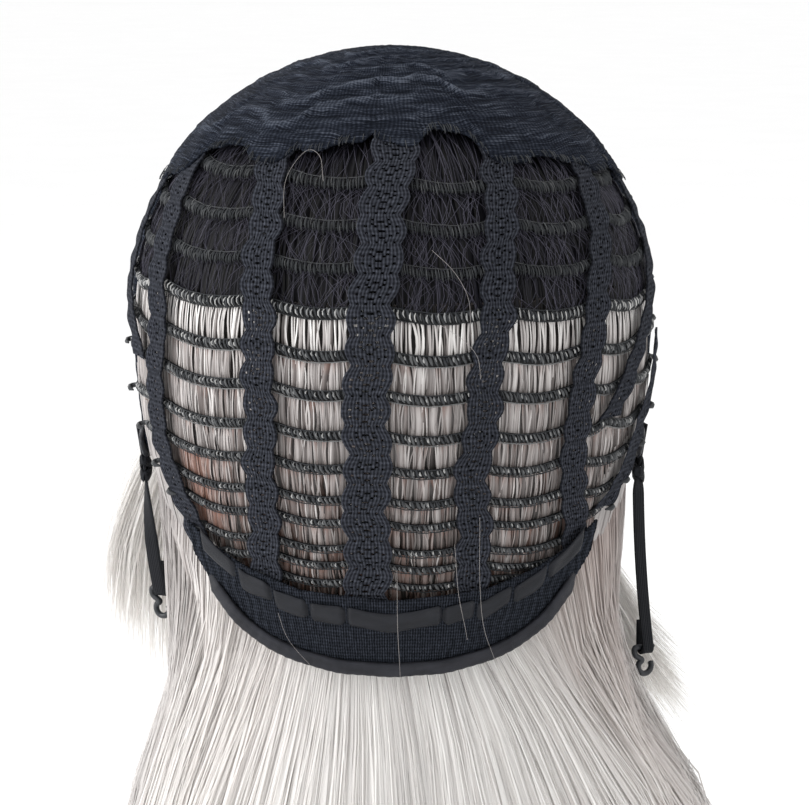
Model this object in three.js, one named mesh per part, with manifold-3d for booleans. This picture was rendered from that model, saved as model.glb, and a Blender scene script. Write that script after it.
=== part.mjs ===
// A wig turned inside out, as it is set on a head to show its cap: rows of sewn hair wefts held by
// lace strips under a closed net crown, with a knitted nape band and its ribbon, a rim bound at the
// nape and round the front, two hook straps on the ear tabs, and hair that lines the cap and falls
// from under the rim.
// Millimetres, +Z up, the back of the head towards -Y. The origin is inside the net at the crown,
// where a head carries the cap. Angles run from the back, positive towards +X. Depths run down
// from the widest level of the head, so the crown has a negative depth.
import * as THREE from "three";
import { mergeVertices } from "three/addons/utils/BufferGeometryUtils.js";
import Module from "manifold-3d";

const wasm = await Module();
wasm.setup();

// Form of the cap, taken on the inner faces of the lace strips
const HALF_WIDTH = 84;
const BACK_REACH = 88;
const FRONT_REACH = 92;
const CROWN_RISE = 82;
const NAPE_DEPTH = 106;
const SIDE_TUCK = 20;
const NAPE_TUCK = 30;
const FRONT_TUCK = 6;

// Layers, measured outwards from that form
const GAP = 0.7;
const STRIP_THICK = 1;
const TRACK_THICK = 2;
const HAIR_THICK = 5;
const NET_THICK = 1.2;
const BINDING_THICK = 1.6;
const RIBBON_THICK = 0.8;
const STRAP_THICK = 1;
const TRACK_TOP = -GAP;
const HAIR_TOP = TRACK_TOP - TRACK_THICK - GAP;
const HAIR_MIDDLE = HAIR_TOP - HAIR_THICK / 2;
const NET_BASE = STRIP_THICK + GAP;
const NET_TOP = NET_BASE + NET_THICK;
const OVER_NET = NET_TOP + GAP;
const STRAP_BASE = OVER_NET + BINDING_THICK + GAP;
const WIDEST_Z = -CROWN_RISE - NET_BASE;

// Rim of the cap: nape, ear notch, ear tab, temple and forehead
const RIM = [
  { angle: 0, depth: 103 },
  { angle: 13, depth: 102.3 },
  { angle: 25, depth: 99.3 },
  { angle: 34, depth: 95 },
  { angle: 41, depth: 89 },
  { angle: 46, depth: 81 },
  { angle: 50, depth: 73 },
  { angle: 55, depth: 63 },
  { angle: 62, depth: 53 },
  { angle: 69, depth: 44 },
  { angle: 76, depth: 35 },
  { angle: 82, depth: 29 },
  { angle: 87, depth: 27 },
  { angle: 92, depth: 30 },
  { angle: 97, depth: 38 },
  { angle: 102, depth: 48 },
  { angle: 107, depth: 53 },
  { angle: 112, depth: 49 },
  { angle: 119, depth: 29 },
  { angle: 127, depth: 6 },
  { angle: 140, depth: -8 },
  { angle: 160, depth: -18 },
  { angle: 180, depth: -20 },
];
const RIM_TURN = 1.2;
const BINDING_HEIGHT = 4.6;
const NAPE_BINDING_END = 50;
const NAPE_BINDING_STEPS = 10;
const FRONT_BINDING_START = 97;
const FRONT_BINDING_STEPS = 17;

// Net crown: the edge that the wefts start from, and the front that runs on down to the rim
const NET_EDGE = [
  { angle: 0, depth: -63 },
  { angle: 20, depth: -58 },
  { angle: 52, depth: -54 },
  { angle: 90, depth: -46 },
];
const NET_COLUMNS = 48;
const CROWN_ROWS = 7;
const FRONT_ROWS = 5;
const FRONT_START = 96;
const NET_FOLD = 1.1;
const NET_FOLDS = 3;

// Lace strips: the angle of each at five stations between its top and its low end
const STRIPS = [
  { name: "lace_strip_1", width: 10, top: -66, low: 10, angles: [-86, -84, -83, -80, -69] },
  { name: "lace_strip_2", width: 10, top: -66, low: 68, angles: [-72, -63.5, -58.5, -61.5, -49.5] },
  { name: "lace_strip_3", width: 10, top: -66, low: 82, angles: [-36, -30, -28, -29, -31] },
  { name: "lace_strip_4", width: 13, top: -66, low: 86, angles: [2, -2.5, -5, -5.4, -6] },
  { name: "lace_strip_5", width: 10, top: -66, low: 82, angles: [34, 25, 20, 17, 20] },
  { name: "lace_strip_6", width: 10, top: -66, low: 68, angles: [68, 56, 46.5, 41.5, 47] },
  { name: "lace_strip_7", width: 10, top: -66, low: 26, angles: [86, 84, 81, 69, 53] },
  { name: "lace_strip_8", width: 9, top: 5, low: 55, angles: [85.5, 80, 71, 66, 56] },
];
const SCALLOP_LENGTH = 9.6;
const SCALLOP = 0.9;

// Wefts from the crown down: level of each track at the back, its height, and where it ends
const WEFTS = [
  { depth: -50, height: 3.4, end: 97 },
  { depth: -38, height: 3.4, end: 97 },
  { depth: -25.5, height: 3.4, end: 97 },
  { depth: -12.5, height: 3.4, end: 97 },
  { depth: 0.5, height: 3.4, end: 96 },
  { depth: 12.5, height: 3.2, end: 90 },
  { depth: 25, height: 3, end: 79 },
  { depth: 35.5, height: 2.8, end: 72 },
  { depth: 45.5, height: 2.6, end: 64 },
  { depth: 53, height: 2.4, end: 58 },
  { depth: 61.5, height: 2.2, end: 50 },
  { depth: 67, height: 2.2, end: 43 },
  { depth: 73, height: 2.2, end: 32 },
];
const WEFT_TILT = 3;
const WEFT_SAG = 2.6;
const WEFT_STEP_ANGLE = 9;

// Nape band and the ribbon drawn through it
const BAND_TOP = [
  { angle: 0, depth: 78 },
  { angle: 22, depth: 75.5 },
  { angle: 35, depth: 70 },
  { angle: 45, depth: 64 },
  { angle: 53, depth: 57 },
];
const BAND_END = 52;
const BAND_COLUMNS = 24;
const RIBBON = [
  { angle: 0, depth: 84.5 },
  { angle: 22, depth: 81.5 },
  { angle: 35, depth: 74.5 },
  { angle: 43, depth: 67 },
  { angle: 48, depth: 61 },
];
const RIBBON_HEIGHT = 6;
const RIBBON_COLUMNS = 36;
const RIBBON_STITCHES = 9;
const RIBBON_BULGE = 0.9;

// Straps hanging from the ear tabs, each turned back round the bar of its hook
const STRAPS = [
  { side: "left", sign: -1, hang: 44, drift: 4 },
  { side: "right", sign: 1, hang: 64, drift: -4 },
];
const STRAP_ANGLE = 107;
const STRAP_WIDTH = 5;
const STRAP_SEAT = 12;
const STRAP_TWIST = 75;
const STRAP_TURN_BACK = 9;
const HOOK_WIRE = 0.9;
const HOOK_RADIUS = 2.6;
const HOOK_SHANK = 4;
const TURN_RADIUS = HOOK_WIRE + 0.4 + STRAP_THICK / 2;

// Hair: the dark roots under the upper wefts, and the light hair that falls from under the rim,
// long at the back and in a shorter layer round the face
const DARK_TOP_LATITUDE = 36;
const DARK_LOW = -14;
const DARK_ROWS = 2;
const HAIR_COLUMNS = 36;
const HAIR_RIDGE = 0.5;
const LINING_ROWS = 3;
const LINING_BELOW_RIM = 4;
const LINING_LEAST = 30;
const LOCK_COUNT = 32;
const LOCK_OVERLAP = 1.5;
const LOCK_WIDEST = 27;
const LOCK_THICK = 7;
const LOCK_STEPS = 5;
const LOCK_EASE = 1.8;
const FALL = [
  { angle: 0, lean: 0, out: 8, flare: 0, tip: 346 },
  { angle: 20, lean: 55, out: 26, flare: 0, tip: 343 },
  { angle: 38, lean: 75, out: 34, flare: 8, tip: 338 },
  { angle: 55, lean: 85, out: 16, flare: 16, tip: 330 },
  { angle: 75, lean: 90, out: -2, flare: 24, tip: 318 },
  { angle: 90, lean: 90, out: -8, flare: 30, tip: 300 },
  { angle: 100, lean: 94, out: -10, flare: 12, tip: 240 },
  { angle: 110, lean: 100, out: -6, flare: 0, tip: 150 },
  { angle: 118, lean: 104, out: 26, flare: 0, tip: 120 },
  { angle: 128, lean: 112, out: 26, flare: 0, tip: 114 },
  { angle: 150, lean: 140, out: 16, flare: 0, tip: 108 },
  { angle: 180, lean: 180, out: 8, flare: 0, tip: 104 },
];
const FLARE_TOP = 100;
const FLARE_LOW = 185;
const DRIFT = 14;
const DRIFT_TOP = 90;
const DRIFT_LENGTH = 60;

const lerp = THREE.MathUtils.lerp;
const radians = THREE.MathUtils.degToRad;

// A column of a table read at an angle on either side, straight between its rows
function read(table, column, angle) {
  const at = Math.abs(THREE.MathUtils.euclideanModulo(angle + 180, 360) - 180);
  const next = table.findIndex((row) => row.angle >= at);
  if (next === 0) return table[0][column];
  if (next < 0) return table.at(-1)[column];
  const [low, high] = [table[next - 1], table[next]];
  const share = (at - low.angle) / (high.angle - low.angle);
  return lerp(low[column], high[column], share);
}

// A list of values spread evenly from 0 to 1, read at a share of its length
function readList(values, share) {
  const place = THREE.MathUtils.clamp(share, 0, 1) * (values.length - 1);
  const low = Math.min(Math.floor(place), values.length - 2);
  return lerp(values[low], values[low + 1], place - low);
}

// The latitude, in degrees from the crown, of a depth: 90 at the widest level, more below it
function latitudeAt(depth) {
  if (depth < 0) return THREE.MathUtils.radToDeg(Math.acos(-depth / CROWN_RISE));
  return 90 + THREE.MathUtils.radToDeg(depth / CROWN_RISE);
}

// A point of the cap's form
function formPoint(angle, latitude) {
  const above = latitude < 90;
  const depth = above ? 0 : radians(latitude - 90) * CROWN_RISE;
  const tuck = (depth / NAPE_DEPTH) ** 2;
  const ring = above ? Math.sin(radians(latitude)) : 1;
  const height = above ? Math.cos(radians(latitude)) * CROWN_RISE : -depth;
  const across = (HALF_WIDTH - SIDE_TUCK * tuck) * ring;
  const back = Math.cos(radians(angle)) > 0;
  const reach = (back ? BACK_REACH - NAPE_TUCK * tuck : FRONT_REACH - FRONT_TUCK * tuck) * ring;
  return new THREE.Vector3(
    across * Math.sin(radians(angle)),
    -reach * Math.cos(radians(angle)),
    WIDEST_Z + height,
  );
}

// The form's outward direction
function formNormal(angle, latitude) {
  const least = 0.5;
  const step = 0.05;
  const at = Math.max(latitude, least);
  const along = formPoint(angle + step, at).sub(formPoint(angle - step, at));
  const down = formPoint(angle, at + step).sub(formPoint(angle, at - step));
  const normal = down.cross(along).normalize();
  return latitude < least ? new THREE.Vector3(0, 0, 1) : normal;
}

// A point at a distance outside the form, by latitude or by depth
function atLatitude(angle, latitude, offset) {
  return formPoint(angle, latitude).addScaledVector(formNormal(angle, latitude), offset);
}
function atDepth(angle, depth, offset) {
  return atLatitude(angle, latitudeAt(depth), offset);
}

// One closed body from points and triangles, with its faces turned outwards
function closedBody(points, triangles) {
  const loose = new THREE.BufferGeometry().setFromPoints(points).setIndex(triangles.flat());
  const merged = mergeVertices(loose, 1e-4);
  const index = merged.index.array;
  const corner = (i) => new THREE.Vector3().fromBufferAttribute(merged.attributes.position, i);
  const kept = [];
  let volume = 0;
  for (let i = 0; i < index.length; i += 3) {
    const [a, b, c] = index.subarray(i, i + 3);
    if (a === b || b === c || c === a) continue;
    kept.push([a, b, c]);
    volume += corner(a).dot(corner(b).cross(corner(c)));
  }
  const outward = kept.map(([a, b, c]) => (volume < 0 ? [a, c, b] : [a, b, c]));
  merged.setIndex(outward.flat());
  merged.computeVertexNormals();
  return merged;
}

// A wall between two faces: place(row share, column share, side) with side 0 inside and 1 outside.
// A cell that is left out has the wall's edge round it.
function wall(place, rows, columns, { wraps = false, holds = () => true } = {}) {
  const points = [];
  const triangles = [];
  for (const side of [0, 1])
    for (let row = 0; row <= rows; row++)
      for (let column = 0; column <= columns; column++)
        points.push(place(row / rows, column / columns, side));
  const at = (row, column, side) => (side * (rows + 1) + row) * (columns + 1) + column;
  const quad = (a, b, c, d) => triangles.push([a, b, c], [a, c, d]);
  const has = (row, column) => {
    const turned = wraps ? (column + columns) % columns : column;
    return row >= 0 && row < rows && turned >= 0 && turned < columns && holds(row, turned);
  };
  const edge = ([r0, c0], [r1, c1]) => quad(at(r0, c0, 0), at(r1, c1, 0), at(r1, c1, 1), at(r0, c0, 1));
  for (let row = 0; row < rows; row++)
    for (let column = 0; column < columns; column++) {
      if (!has(row, column)) continue;
      const [a, b, c, d] = [
        [row, column],
        [row, column + 1],
        [row + 1, column + 1],
        [row + 1, column],
      ];
      quad(...[a, d, c, b].map((corner) => at(...corner, 1)));
      quad(...[a, b, c, d].map((corner) => at(...corner, 0)));
      if (!has(row - 1, column)) edge(b, a);
      if (!has(row, column + 1)) edge(c, b);
      if (!has(row + 1, column)) edge(d, c);
      if (!has(row, column - 1)) edge(a, d);
    }
  return closedBody(points, triangles);
}

// A bar through sections of equal point count, closed by flat ends
function bar(sections) {
  const size = sections[0].length;
  const triangles = [];
  const last = sections.length - 1;
  for (let s = 0; s < last; s++)
    for (let k = 0; k < size; k++) {
      const [here, next] = [s * size, (s + 1) * size];
      const turn = (k + 1) % size;
      triangles.push([here + k, here + turn, next + turn], [here + k, next + turn, next + k]);
    }
  for (let k = 1; k < size - 1; k++) {
    triangles.push([0, k + 1, k], [last * size, last * size + k, last * size + k + 1]);
  }
  return closedBody(sections.flat(), triangles);
}

// The four corners of a flat section
function flatSection(centre, across, through) {
  return [
    [1, 1],
    [-1, 1],
    [-1, -1],
    [1, -1],
  ].map(([u, v]) => centre.clone().addScaledVector(across, u).addScaledVector(through, v));
}

// Solids joined into one
function fuse(geometries) {
  const solids = geometries.map((geometry) => {
    const mesh = new wasm.Mesh({
      numProp: 3,
      vertProperties: new Float32Array(geometry.attributes.position.array),
      triVerts: new Uint32Array(geometry.index.array),
    });
    return new wasm.Manifold(mesh);
  });
  const made = solids.reduce((sum, solid) => sum.add(solid)).getMesh();
  const joined = new THREE.BufferGeometry();
  joined.setAttribute("position", new THREE.BufferAttribute(made.vertProperties, made.numProp));
  joined.setIndex(new THREE.BufferAttribute(made.triVerts, 1));
  joined.computeVertexNormals();
  return joined;
}

const wig = new THREE.Group();

function add(name, geometry, material) {
  const mesh = new THREE.Mesh(geometry, material);
  mesh.name = name;
  wig.add(mesh);
}

const netCloth = new THREE.MeshStandardMaterial({ color: 0x22242b, roughness: 0.9 });
const laceCloth = new THREE.MeshStandardMaterial({ color: 0x2b2d35, roughness: 0.9 });
const bandCloth = new THREE.MeshStandardMaterial({ color: 0x1a1b20, roughness: 0.85 });
const satin = new THREE.MeshStandardMaterial({ color: 0x24252b, roughness: 0.5 });
const weftThread = new THREE.MeshStandardMaterial({ color: 0x4b4d4f, roughness: 0.7 });
const darkHair = new THREE.MeshStandardMaterial({ color: 0x17141a, roughness: 0.5 });
const silverHair = new THREE.MeshStandardMaterial({ color: 0xd8d2cb, roughness: 0.5 });
const hookPlastic = new THREE.MeshStandardMaterial({ color: 0x25262c, roughness: 0.25 });

// The crown: a closed net that lies in soft folds round the back and covers the front
function netPoint(down, round, side) {
  const angle = lerp(-180, 180, round);
  const row = down * (CROWN_ROWS + FRONT_ROWS);
  const crown = Math.min(1, row / CROWN_ROWS);
  const front = Math.max(0, row - CROWN_ROWS) / FRONT_ROWS;
  const crownEdge = latitudeAt(read(NET_EDGE, "depth", angle)) * crown;
  const frontEdge = latitudeAt(read(RIM, "depth", angle) - RIM_TURN);
  const fade = Math.sin(Math.PI * crown) * Math.max(0, Math.cos(radians(angle)));
  const fold = NET_FOLD * fade * (1 - Math.cos(2 * Math.PI * NET_FOLDS * crown)) * 0.5;
  return atLatitude(angle, lerp(crownEdge, frontEdge, front), (side ? NET_TOP : NET_BASE) + fold);
}
function netHolds(row, column) {
  const angle = (360 * (column + 0.5)) / NET_COLUMNS - 180;
  return row < CROWN_ROWS || Math.abs(angle) > FRONT_START;
}
add(
  "crown_net",
  wall(netPoint, CROWN_ROWS + FRONT_ROWS, NET_COLUMNS, { wraps: true, holds: netHolds }),
  netCloth,
);

// Lace strips, tucked under the net above and under the nape band below
function stripAngle(strip, depth) {
  return readList(strip.angles, (depth - strip.top) / (strip.low - strip.top));
}
function laceStrip(strip) {
  const [top, low] = [latitudeAt(strip.top), latitudeAt(strip.low)];
  const length = radians(low - top) * CROWN_RISE;
  const steps = 2 * Math.round(length / SCALLOP_LENGTH);
  const place = (down, across, side) => {
    const latitude = lerp(top, low, down);
    const depth = lerp(strip.top, strip.low, down);
    const scallop = SCALLOP * (Math.round(down * steps) % 2 ? 1 : -1);
    const reach = formPoint(90, latitude).x;
    const half = THREE.MathUtils.radToDeg((strip.width / 2 + scallop) / reach);
    const angle = stripAngle(strip, depth) + lerp(-half, half, across);
    return atLatitude(angle, latitude, side ? STRIP_THICK : 0);
  };
  return wall(place, steps, 1);
}
for (const strip of STRIPS) add(strip.name, laceStrip(strip), laceCloth);

// Weft tracks: each sags a little between the strips that it is sewn to
function weftDepth(weft, angle) {
  const crossed = STRIPS.filter((strip) => strip.top < weft.depth && strip.low > weft.depth);
  const holds = crossed.map((strip) => stripAngle(strip, weft.depth));
  const left = Math.max(...holds.filter((hold) => hold <= angle), -Infinity);
  const right = Math.min(...holds.filter((hold) => hold > angle), Infinity);
  const between = Number.isFinite(right - left) ? Math.sin((Math.PI * (angle - left)) / (right - left)) : 0;
  return weft.depth + WEFT_TILT * Math.sin(radians(angle)) + WEFT_SAG * between;
}
function weftTrack(weft) {
  const columns = Math.round((2 * weft.end) / WEFT_STEP_ANGLE);
  const place = (down, round, side) => {
    const angle = lerp(-weft.end, weft.end, round);
    const depth = weftDepth(weft, angle) + lerp(-weft.height / 2, weft.height / 2, down);
    return atDepth(angle, depth, side ? TRACK_TOP : TRACK_TOP - TRACK_THICK);
  };
  return wall(place, 1, columns);
}
WEFTS.forEach((weft, i) => {
  add(`weft_track_${String(i + 1).padStart(2, "0")}`, weftTrack(weft), weftThread);
});

// Nape band, the ribbon on it, and the tapes that bind the rim at the nape and round the front
function bandPoint(down, round, side) {
  const angle = lerp(-BAND_END, BAND_END, round);
  const low = read(RIM, "depth", angle) - RIM_TURN;
  return atDepth(angle, lerp(read(BAND_TOP, "depth", angle), low, down), side ? NET_TOP : NET_BASE);
}
add("nape_band", wall(bandPoint, 2, BAND_COLUMNS), bandCloth);

function ribbonPoint(down, round, side) {
  const end = RIBBON.at(-1).angle;
  const angle = lerp(-end, end, round);
  const depth = read(RIBBON, "depth", angle) + lerp(-0.5, 0.5, down) * RIBBON_HEIGHT;
  const bulge = RIBBON_BULGE * Math.sin(Math.PI * RIBBON_STITCHES * round) ** 2;
  return atDepth(angle, depth, OVER_NET + bulge + (side ? RIBBON_THICK : 0));
}
add("nape_ribbon", wall(ribbonPoint, 1, RIBBON_COLUMNS), satin);

// Even stations along the right half of the rim, over some rows of its table
function rimStations(rows, steps) {
  const curve = new THREE.CatmullRomCurve3(rows.map((row) => new THREE.Vector3(row.angle, row.depth, 0)));
  return curve.getSpacedPoints(steps).map((at) => [at.x, at.y]);
}
function mirrored(stations) {
  return stations.map(([angle, depth]) => [-angle, depth]).reverse();
}
function bindingSections(stations) {
  const edge = stations.map(([angle, depth]) => atDepth(angle, depth, OVER_NET));
  return stations.map(([angle, depth], i) => {
    const ahead = edge[Math.min(i + 1, edge.length - 1)];
    const behind = edge[Math.max(i - 1, 0)];
    const out = formNormal(angle, latitudeAt(depth));
    const inward = out.clone().cross(ahead.clone().sub(behind)).normalize();
    return [
      [BINDING_HEIGHT, 0],
      [0, 0],
      [-BINDING_THICK * 0.3, BINDING_THICK / 2],
      [BINDING_THICK * 0.2, BINDING_THICK],
      [BINDING_HEIGHT, BINDING_THICK],
    ].map(([up, through]) => edge[i].clone().addScaledVector(inward, up).addScaledVector(out, through));
  });
}
const napeRows = RIM.filter((row) => row.angle <= NAPE_BINDING_END);
const napeRight = rimStations(napeRows, NAPE_BINDING_STEPS);
add("nape_binding", bar(bindingSections([...mirrored(napeRight.slice(1)), ...napeRight])), satin);
const frontRows = RIM.filter((row) => row.angle >= FRONT_BINDING_START);
const frontRight = rimStations(frontRows, FRONT_BINDING_STEPS);
add("front_binding", bar(bindingSections([...frontRight, ...mirrored(frontRight.slice(0, -1))])), satin);

// A strap: sewn to the ear tab, hanging with a twist, then turned back round the hook's bar
function strapSections({ sign, hang, drift }) {
  const angle = sign * STRAP_ANGLE;
  const rim = read(RIM, "depth", angle);
  const out = formNormal(angle, latitudeAt(rim)).setZ(0).normalize();
  const along = new THREE.Vector3(0, 0, 1).cross(out);
  const middle = STRAP_BASE + STRAP_THICK / 2;
  const seat = atDepth(angle, rim - STRAP_SEAT, middle);
  const edge = atDepth(angle, rim, middle);
  const turned = (degrees) => ({
    across: along.clone().applyAxisAngle(new THREE.Vector3(0, 0, 1), radians(-sign * degrees)),
    through: out.clone().applyAxisAngle(new THREE.Vector3(0, 0, 1), radians(-sign * degrees)),
  });
  const section = (centre, degrees) => {
    const { across, through } = turned(degrees);
    across.multiplyScalar(STRAP_WIDTH / 2);
    through.multiplyScalar(STRAP_THICK / 2);
    return flatSection(centre, across, through);
  };
  const sections = [section(seat, 0), section(edge, 0)];
  const hangSteps = 6;
  const place = (share) => {
    const centre = edge.clone();
    centre.x -= sign * drift * share * share;
    centre.z -= hang * share;
    return centre;
  };
  for (let i = 1; i <= hangSteps; i++)
    sections.push(section(place(i / hangSteps), STRAP_TWIST * Math.min(1, (1.6 * i) / hangSteps)));
  const foot = place(1);
  const { across, through } = turned(STRAP_TWIST);
  const bend = foot.clone().addScaledVector(through, -TURN_RADIUS);
  const bendSteps = 4;
  for (let i = 1; i <= bendSteps; i++) {
    const turn = (Math.PI * i) / bendSteps;
    const ray = through.clone().multiplyScalar(Math.cos(turn)).setZ(-Math.sin(turn));
    const centre = bend.clone().addScaledVector(ray, TURN_RADIUS);
    const half = across.clone().multiplyScalar(STRAP_WIDTH / 2);
    sections.push(flatSection(centre, half, ray.clone().multiplyScalar(STRAP_THICK / 2)));
  }
  const end = bend.clone().addScaledVector(through, -TURN_RADIUS);
  end.z += STRAP_TURN_BACK;
  const half = across.clone().multiplyScalar(STRAP_WIDTH / 2);
  sections.push(flatSection(end, half, through.clone().multiplyScalar(-STRAP_THICK / 2)));
  return { sections, bend, across };
}

// A hook: its bar in the strap's turn, a short shank, and an open ring
function hookGeometry(bend, across) {
  const half = STRAP_WIDTH / 2 + HOOK_WIRE + 0.4;
  const down = new THREE.Vector3(0, 0, -1);
  const place = (side, drop) => bend.clone().addScaledVector(across, side).addScaledVector(down, drop);
  const ringCentre = HOOK_SHANK + HOOK_RADIUS;
  const route = [place(-half, 0), place(0, 0), place(half, 0), place(half, HOOK_SHANK * 0.6)];
  const ringSteps = 8;
  for (let i = 0; i <= ringSteps; i++) {
    const turn = radians(lerp(60, -215, i / ringSteps));
    route.push(place(HOOK_RADIUS * Math.cos(turn), ringCentre - HOOK_RADIUS * Math.sin(turn)));
  }
  const curve = new THREE.CatmullRomCurve3(route, false, "centripetal");
  const wire = new THREE.Shape().absarc(0, 0, HOOK_WIRE, 0, 2 * Math.PI);
  return new THREE.ExtrudeGeometry(wire, { steps: 18, curveSegments: 3, extrudePath: curve });
}
for (const strap of STRAPS) {
  const { sections, bend, across } = strapSections(strap);
  add(`strap_${strap.side}`, bar(sections), bandCloth);
  add(`hook_${strap.side}`, hookGeometry(bend, across), hookPlastic);
}

// Hair inside the cap lies in shallow ridges
function hairOffset(angle, side) {
  const ridge = HAIR_RIDGE * Math.cos(radians((angle * HAIR_COLUMNS) / 2));
  return side ? HAIR_TOP - HAIR_RIDGE + ridge : HAIR_TOP - HAIR_THICK;
}
function darkPoint(down, round, side) {
  const angle = lerp(-180, 180, round);
  const latitude = lerp(DARK_TOP_LATITUDE, latitudeAt(DARK_LOW), down);
  return atLatitude(angle, latitude, hairOffset(angle, side));
}
add("dark_hair", wall(darkPoint, DARK_ROWS, HAIR_COLUMNS, { wraps: true }), darkHair);

// The light hair's lining, from the dark roots to just below the rim
function liningLow(angle) {
  return Math.max(read(RIM, "depth", angle) + LINING_BELOW_RIM, LINING_LEAST);
}
function liningPoint(down, round, side) {
  const angle = lerp(-180, 180, round);
  const depth = lerp(DARK_LOW + GAP, liningLow(angle), down);
  return atDepth(angle, depth, hairOffset(angle, side));
}

// The locks stand evenly round the rim
function lockAngle(i) {
  return THREE.MathUtils.euclideanModulo((360 * (i + 0.5)) / LOCK_COUNT, 360) - 180;
}

// The middle of a lock: it leaves the lining, leans out, flares below the straps and drifts right
function lockCentre(i, share) {
  const angle = lockAngle(i);
  const low = liningLow(angle);
  const stagger = i % 2 ? 1 : -1;
  const lean = radians(Math.sign(angle) * read(FALL, "lean", angle));
  const out = new THREE.Vector3(Math.sin(lean), -Math.cos(lean), 0);
  const drop = share * (read(FALL, "tip", angle) - low + 8 * stagger + 6 * Math.sin(i * 2.4));
  const swing = 1 - (1 - share) ** LOCK_EASE;
  const flare = THREE.MathUtils.smoothstep(low + drop, FLARE_TOP, FLARE_LOW);
  const drift = 1 - Math.exp(-Math.max(0, low + drop - DRIFT_TOP) / DRIFT_LENGTH);
  const reach = (read(FALL, "out", angle) + 2 * stagger) * swing + read(FALL, "flare", angle) * flare;
  const centre = atDepth(angle, low - 2, HAIR_MIDDLE - 0.8 + 0.4 * stagger);
  centre.addScaledVector(out, reach);
  centre.x += DRIFT * drift;
  centre.z -= drop;
  return centre;
}

// A lock reaches past the middle of the space to each neighbour, and narrows to its tip
function hairLock(i) {
  const angle = lockAngle(i);
  const section = (centre, across, wide, thick) => {
    const facing = across.clone().cross(new THREE.Vector3(0, 0, 1));
    return [
      centre.clone().addScaledVector(across, wide / 2),
      centre.clone().addScaledVector(facing, thick / 2),
      centre.clone().addScaledVector(across, -wide / 2),
      centre.clone().addScaledVector(facing, -thick / 2),
    ];
  };
  const sections = [];
  for (let step = 0; step <= LOCK_STEPS; step++) {
    const share = step / LOCK_STEPS;
    const span = lockCentre(i + 1, share).sub(lockCentre(i - 1, share)).setZ(0);
    const wide = Math.min(LOCK_WIDEST, (LOCK_OVERLAP * span.length()) / 2);
    const gather = lerp(0.8, 1, Math.min(1, share * 4));
    const taper = Math.min(gather, 1.02 - share ** 4);
    const across = span.normalize();
    if (step === 0) {
      const root = atDepth(angle, liningLow(angle) - 12, HAIR_MIDDLE);
      sections.push(section(root, across, wide * 0.6, HAIR_THICK * 0.6));
    }
    sections.push(section(lockCentre(i, share), across, wide * taper, LOCK_THICK * taper));
  }
  return bar(sections);
}
const lining = wall(liningPoint, LINING_ROWS, HAIR_COLUMNS, { wraps: true });
const locks = Array.from({ length: LOCK_COUNT }, (_, i) => hairLock(i));
add("silver_hair", fuse([lining, ...locks]), silverHair);

export default wig;
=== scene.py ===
# The looks of a wig turned inside out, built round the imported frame.
# Shapes are worked out in millimetres on the cap's form, as in the CAD: an angle runs from the back,
# positive towards +X, a depth runs down from the widest level, and an offset runs outwards.
import math
from collections import namedtuple

import bpy
import numpy as np
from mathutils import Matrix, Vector


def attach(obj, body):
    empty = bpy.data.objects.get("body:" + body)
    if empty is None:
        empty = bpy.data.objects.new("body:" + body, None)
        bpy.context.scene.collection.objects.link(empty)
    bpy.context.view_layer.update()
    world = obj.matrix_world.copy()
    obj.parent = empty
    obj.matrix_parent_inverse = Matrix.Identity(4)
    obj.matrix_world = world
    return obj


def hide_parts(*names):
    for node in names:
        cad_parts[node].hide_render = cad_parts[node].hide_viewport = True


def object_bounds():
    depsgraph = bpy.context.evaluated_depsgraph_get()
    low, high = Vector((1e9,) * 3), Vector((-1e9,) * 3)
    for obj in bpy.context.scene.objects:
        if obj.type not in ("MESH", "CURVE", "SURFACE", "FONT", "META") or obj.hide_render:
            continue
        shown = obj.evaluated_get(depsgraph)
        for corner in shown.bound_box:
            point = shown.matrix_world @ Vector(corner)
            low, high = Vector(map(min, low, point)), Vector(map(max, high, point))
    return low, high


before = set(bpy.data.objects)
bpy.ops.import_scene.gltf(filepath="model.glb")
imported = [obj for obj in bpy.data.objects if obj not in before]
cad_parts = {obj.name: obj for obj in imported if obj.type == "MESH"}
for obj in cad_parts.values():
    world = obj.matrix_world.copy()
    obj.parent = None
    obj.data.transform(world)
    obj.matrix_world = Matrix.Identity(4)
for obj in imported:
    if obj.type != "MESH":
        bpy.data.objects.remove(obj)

CAD_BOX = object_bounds()
MM = 0.001
BODY = "root"

# Form of the cap, taken on the inner faces of the lace strips
HALF_WIDTH = 84
BACK_REACH = 88
FRONT_REACH = 92
CROWN_RISE = 82
NAPE_DEPTH = 106
NAPE_RADIUS = 72
SIDE_TUCK = 20
NAPE_TUCK = 30
FRONT_TUCK = 6
WIDEST_Z = -83.7

# Layers, measured outwards from that form
STRIP_TOP_FACE = 1.0
TRACK_MIDDLE = -1.7
HAIR_TOP = -3.4
HAIR_MIDDLE = -5.9
NET_TOP = 2.9
STRAP_MIDDLE = 6.4

# Rim of the cap: nape, ear notch, ear tab, temple and forehead
RIM = dict(
    angle=[0, 13, 25, 34, 41, 46, 50, 55, 62, 69, 76, 82,
           87, 92, 97, 102, 107, 112, 119, 127, 140, 160, 180],
    depth=[103, 102.3, 99.3, 95, 89, 81, 73, 63, 53, 44, 35, 29,
           27, 30, 38, 48, 53, 49, 29, 6, -8, -18, -20],
)
RIM_TURN = 1.2
NET_EDGE = dict(angle=[0, 20, 52, 90], depth=[-63, -58, -54, -46])
NET_DROP = dict(angle=[-32, -26, -8, -2, 34, 42, 60, 66], depth=[0, 3.5, 4.5, 0, 0, 4.7, 4.7, 0])
FRONT_START = 96

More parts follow.
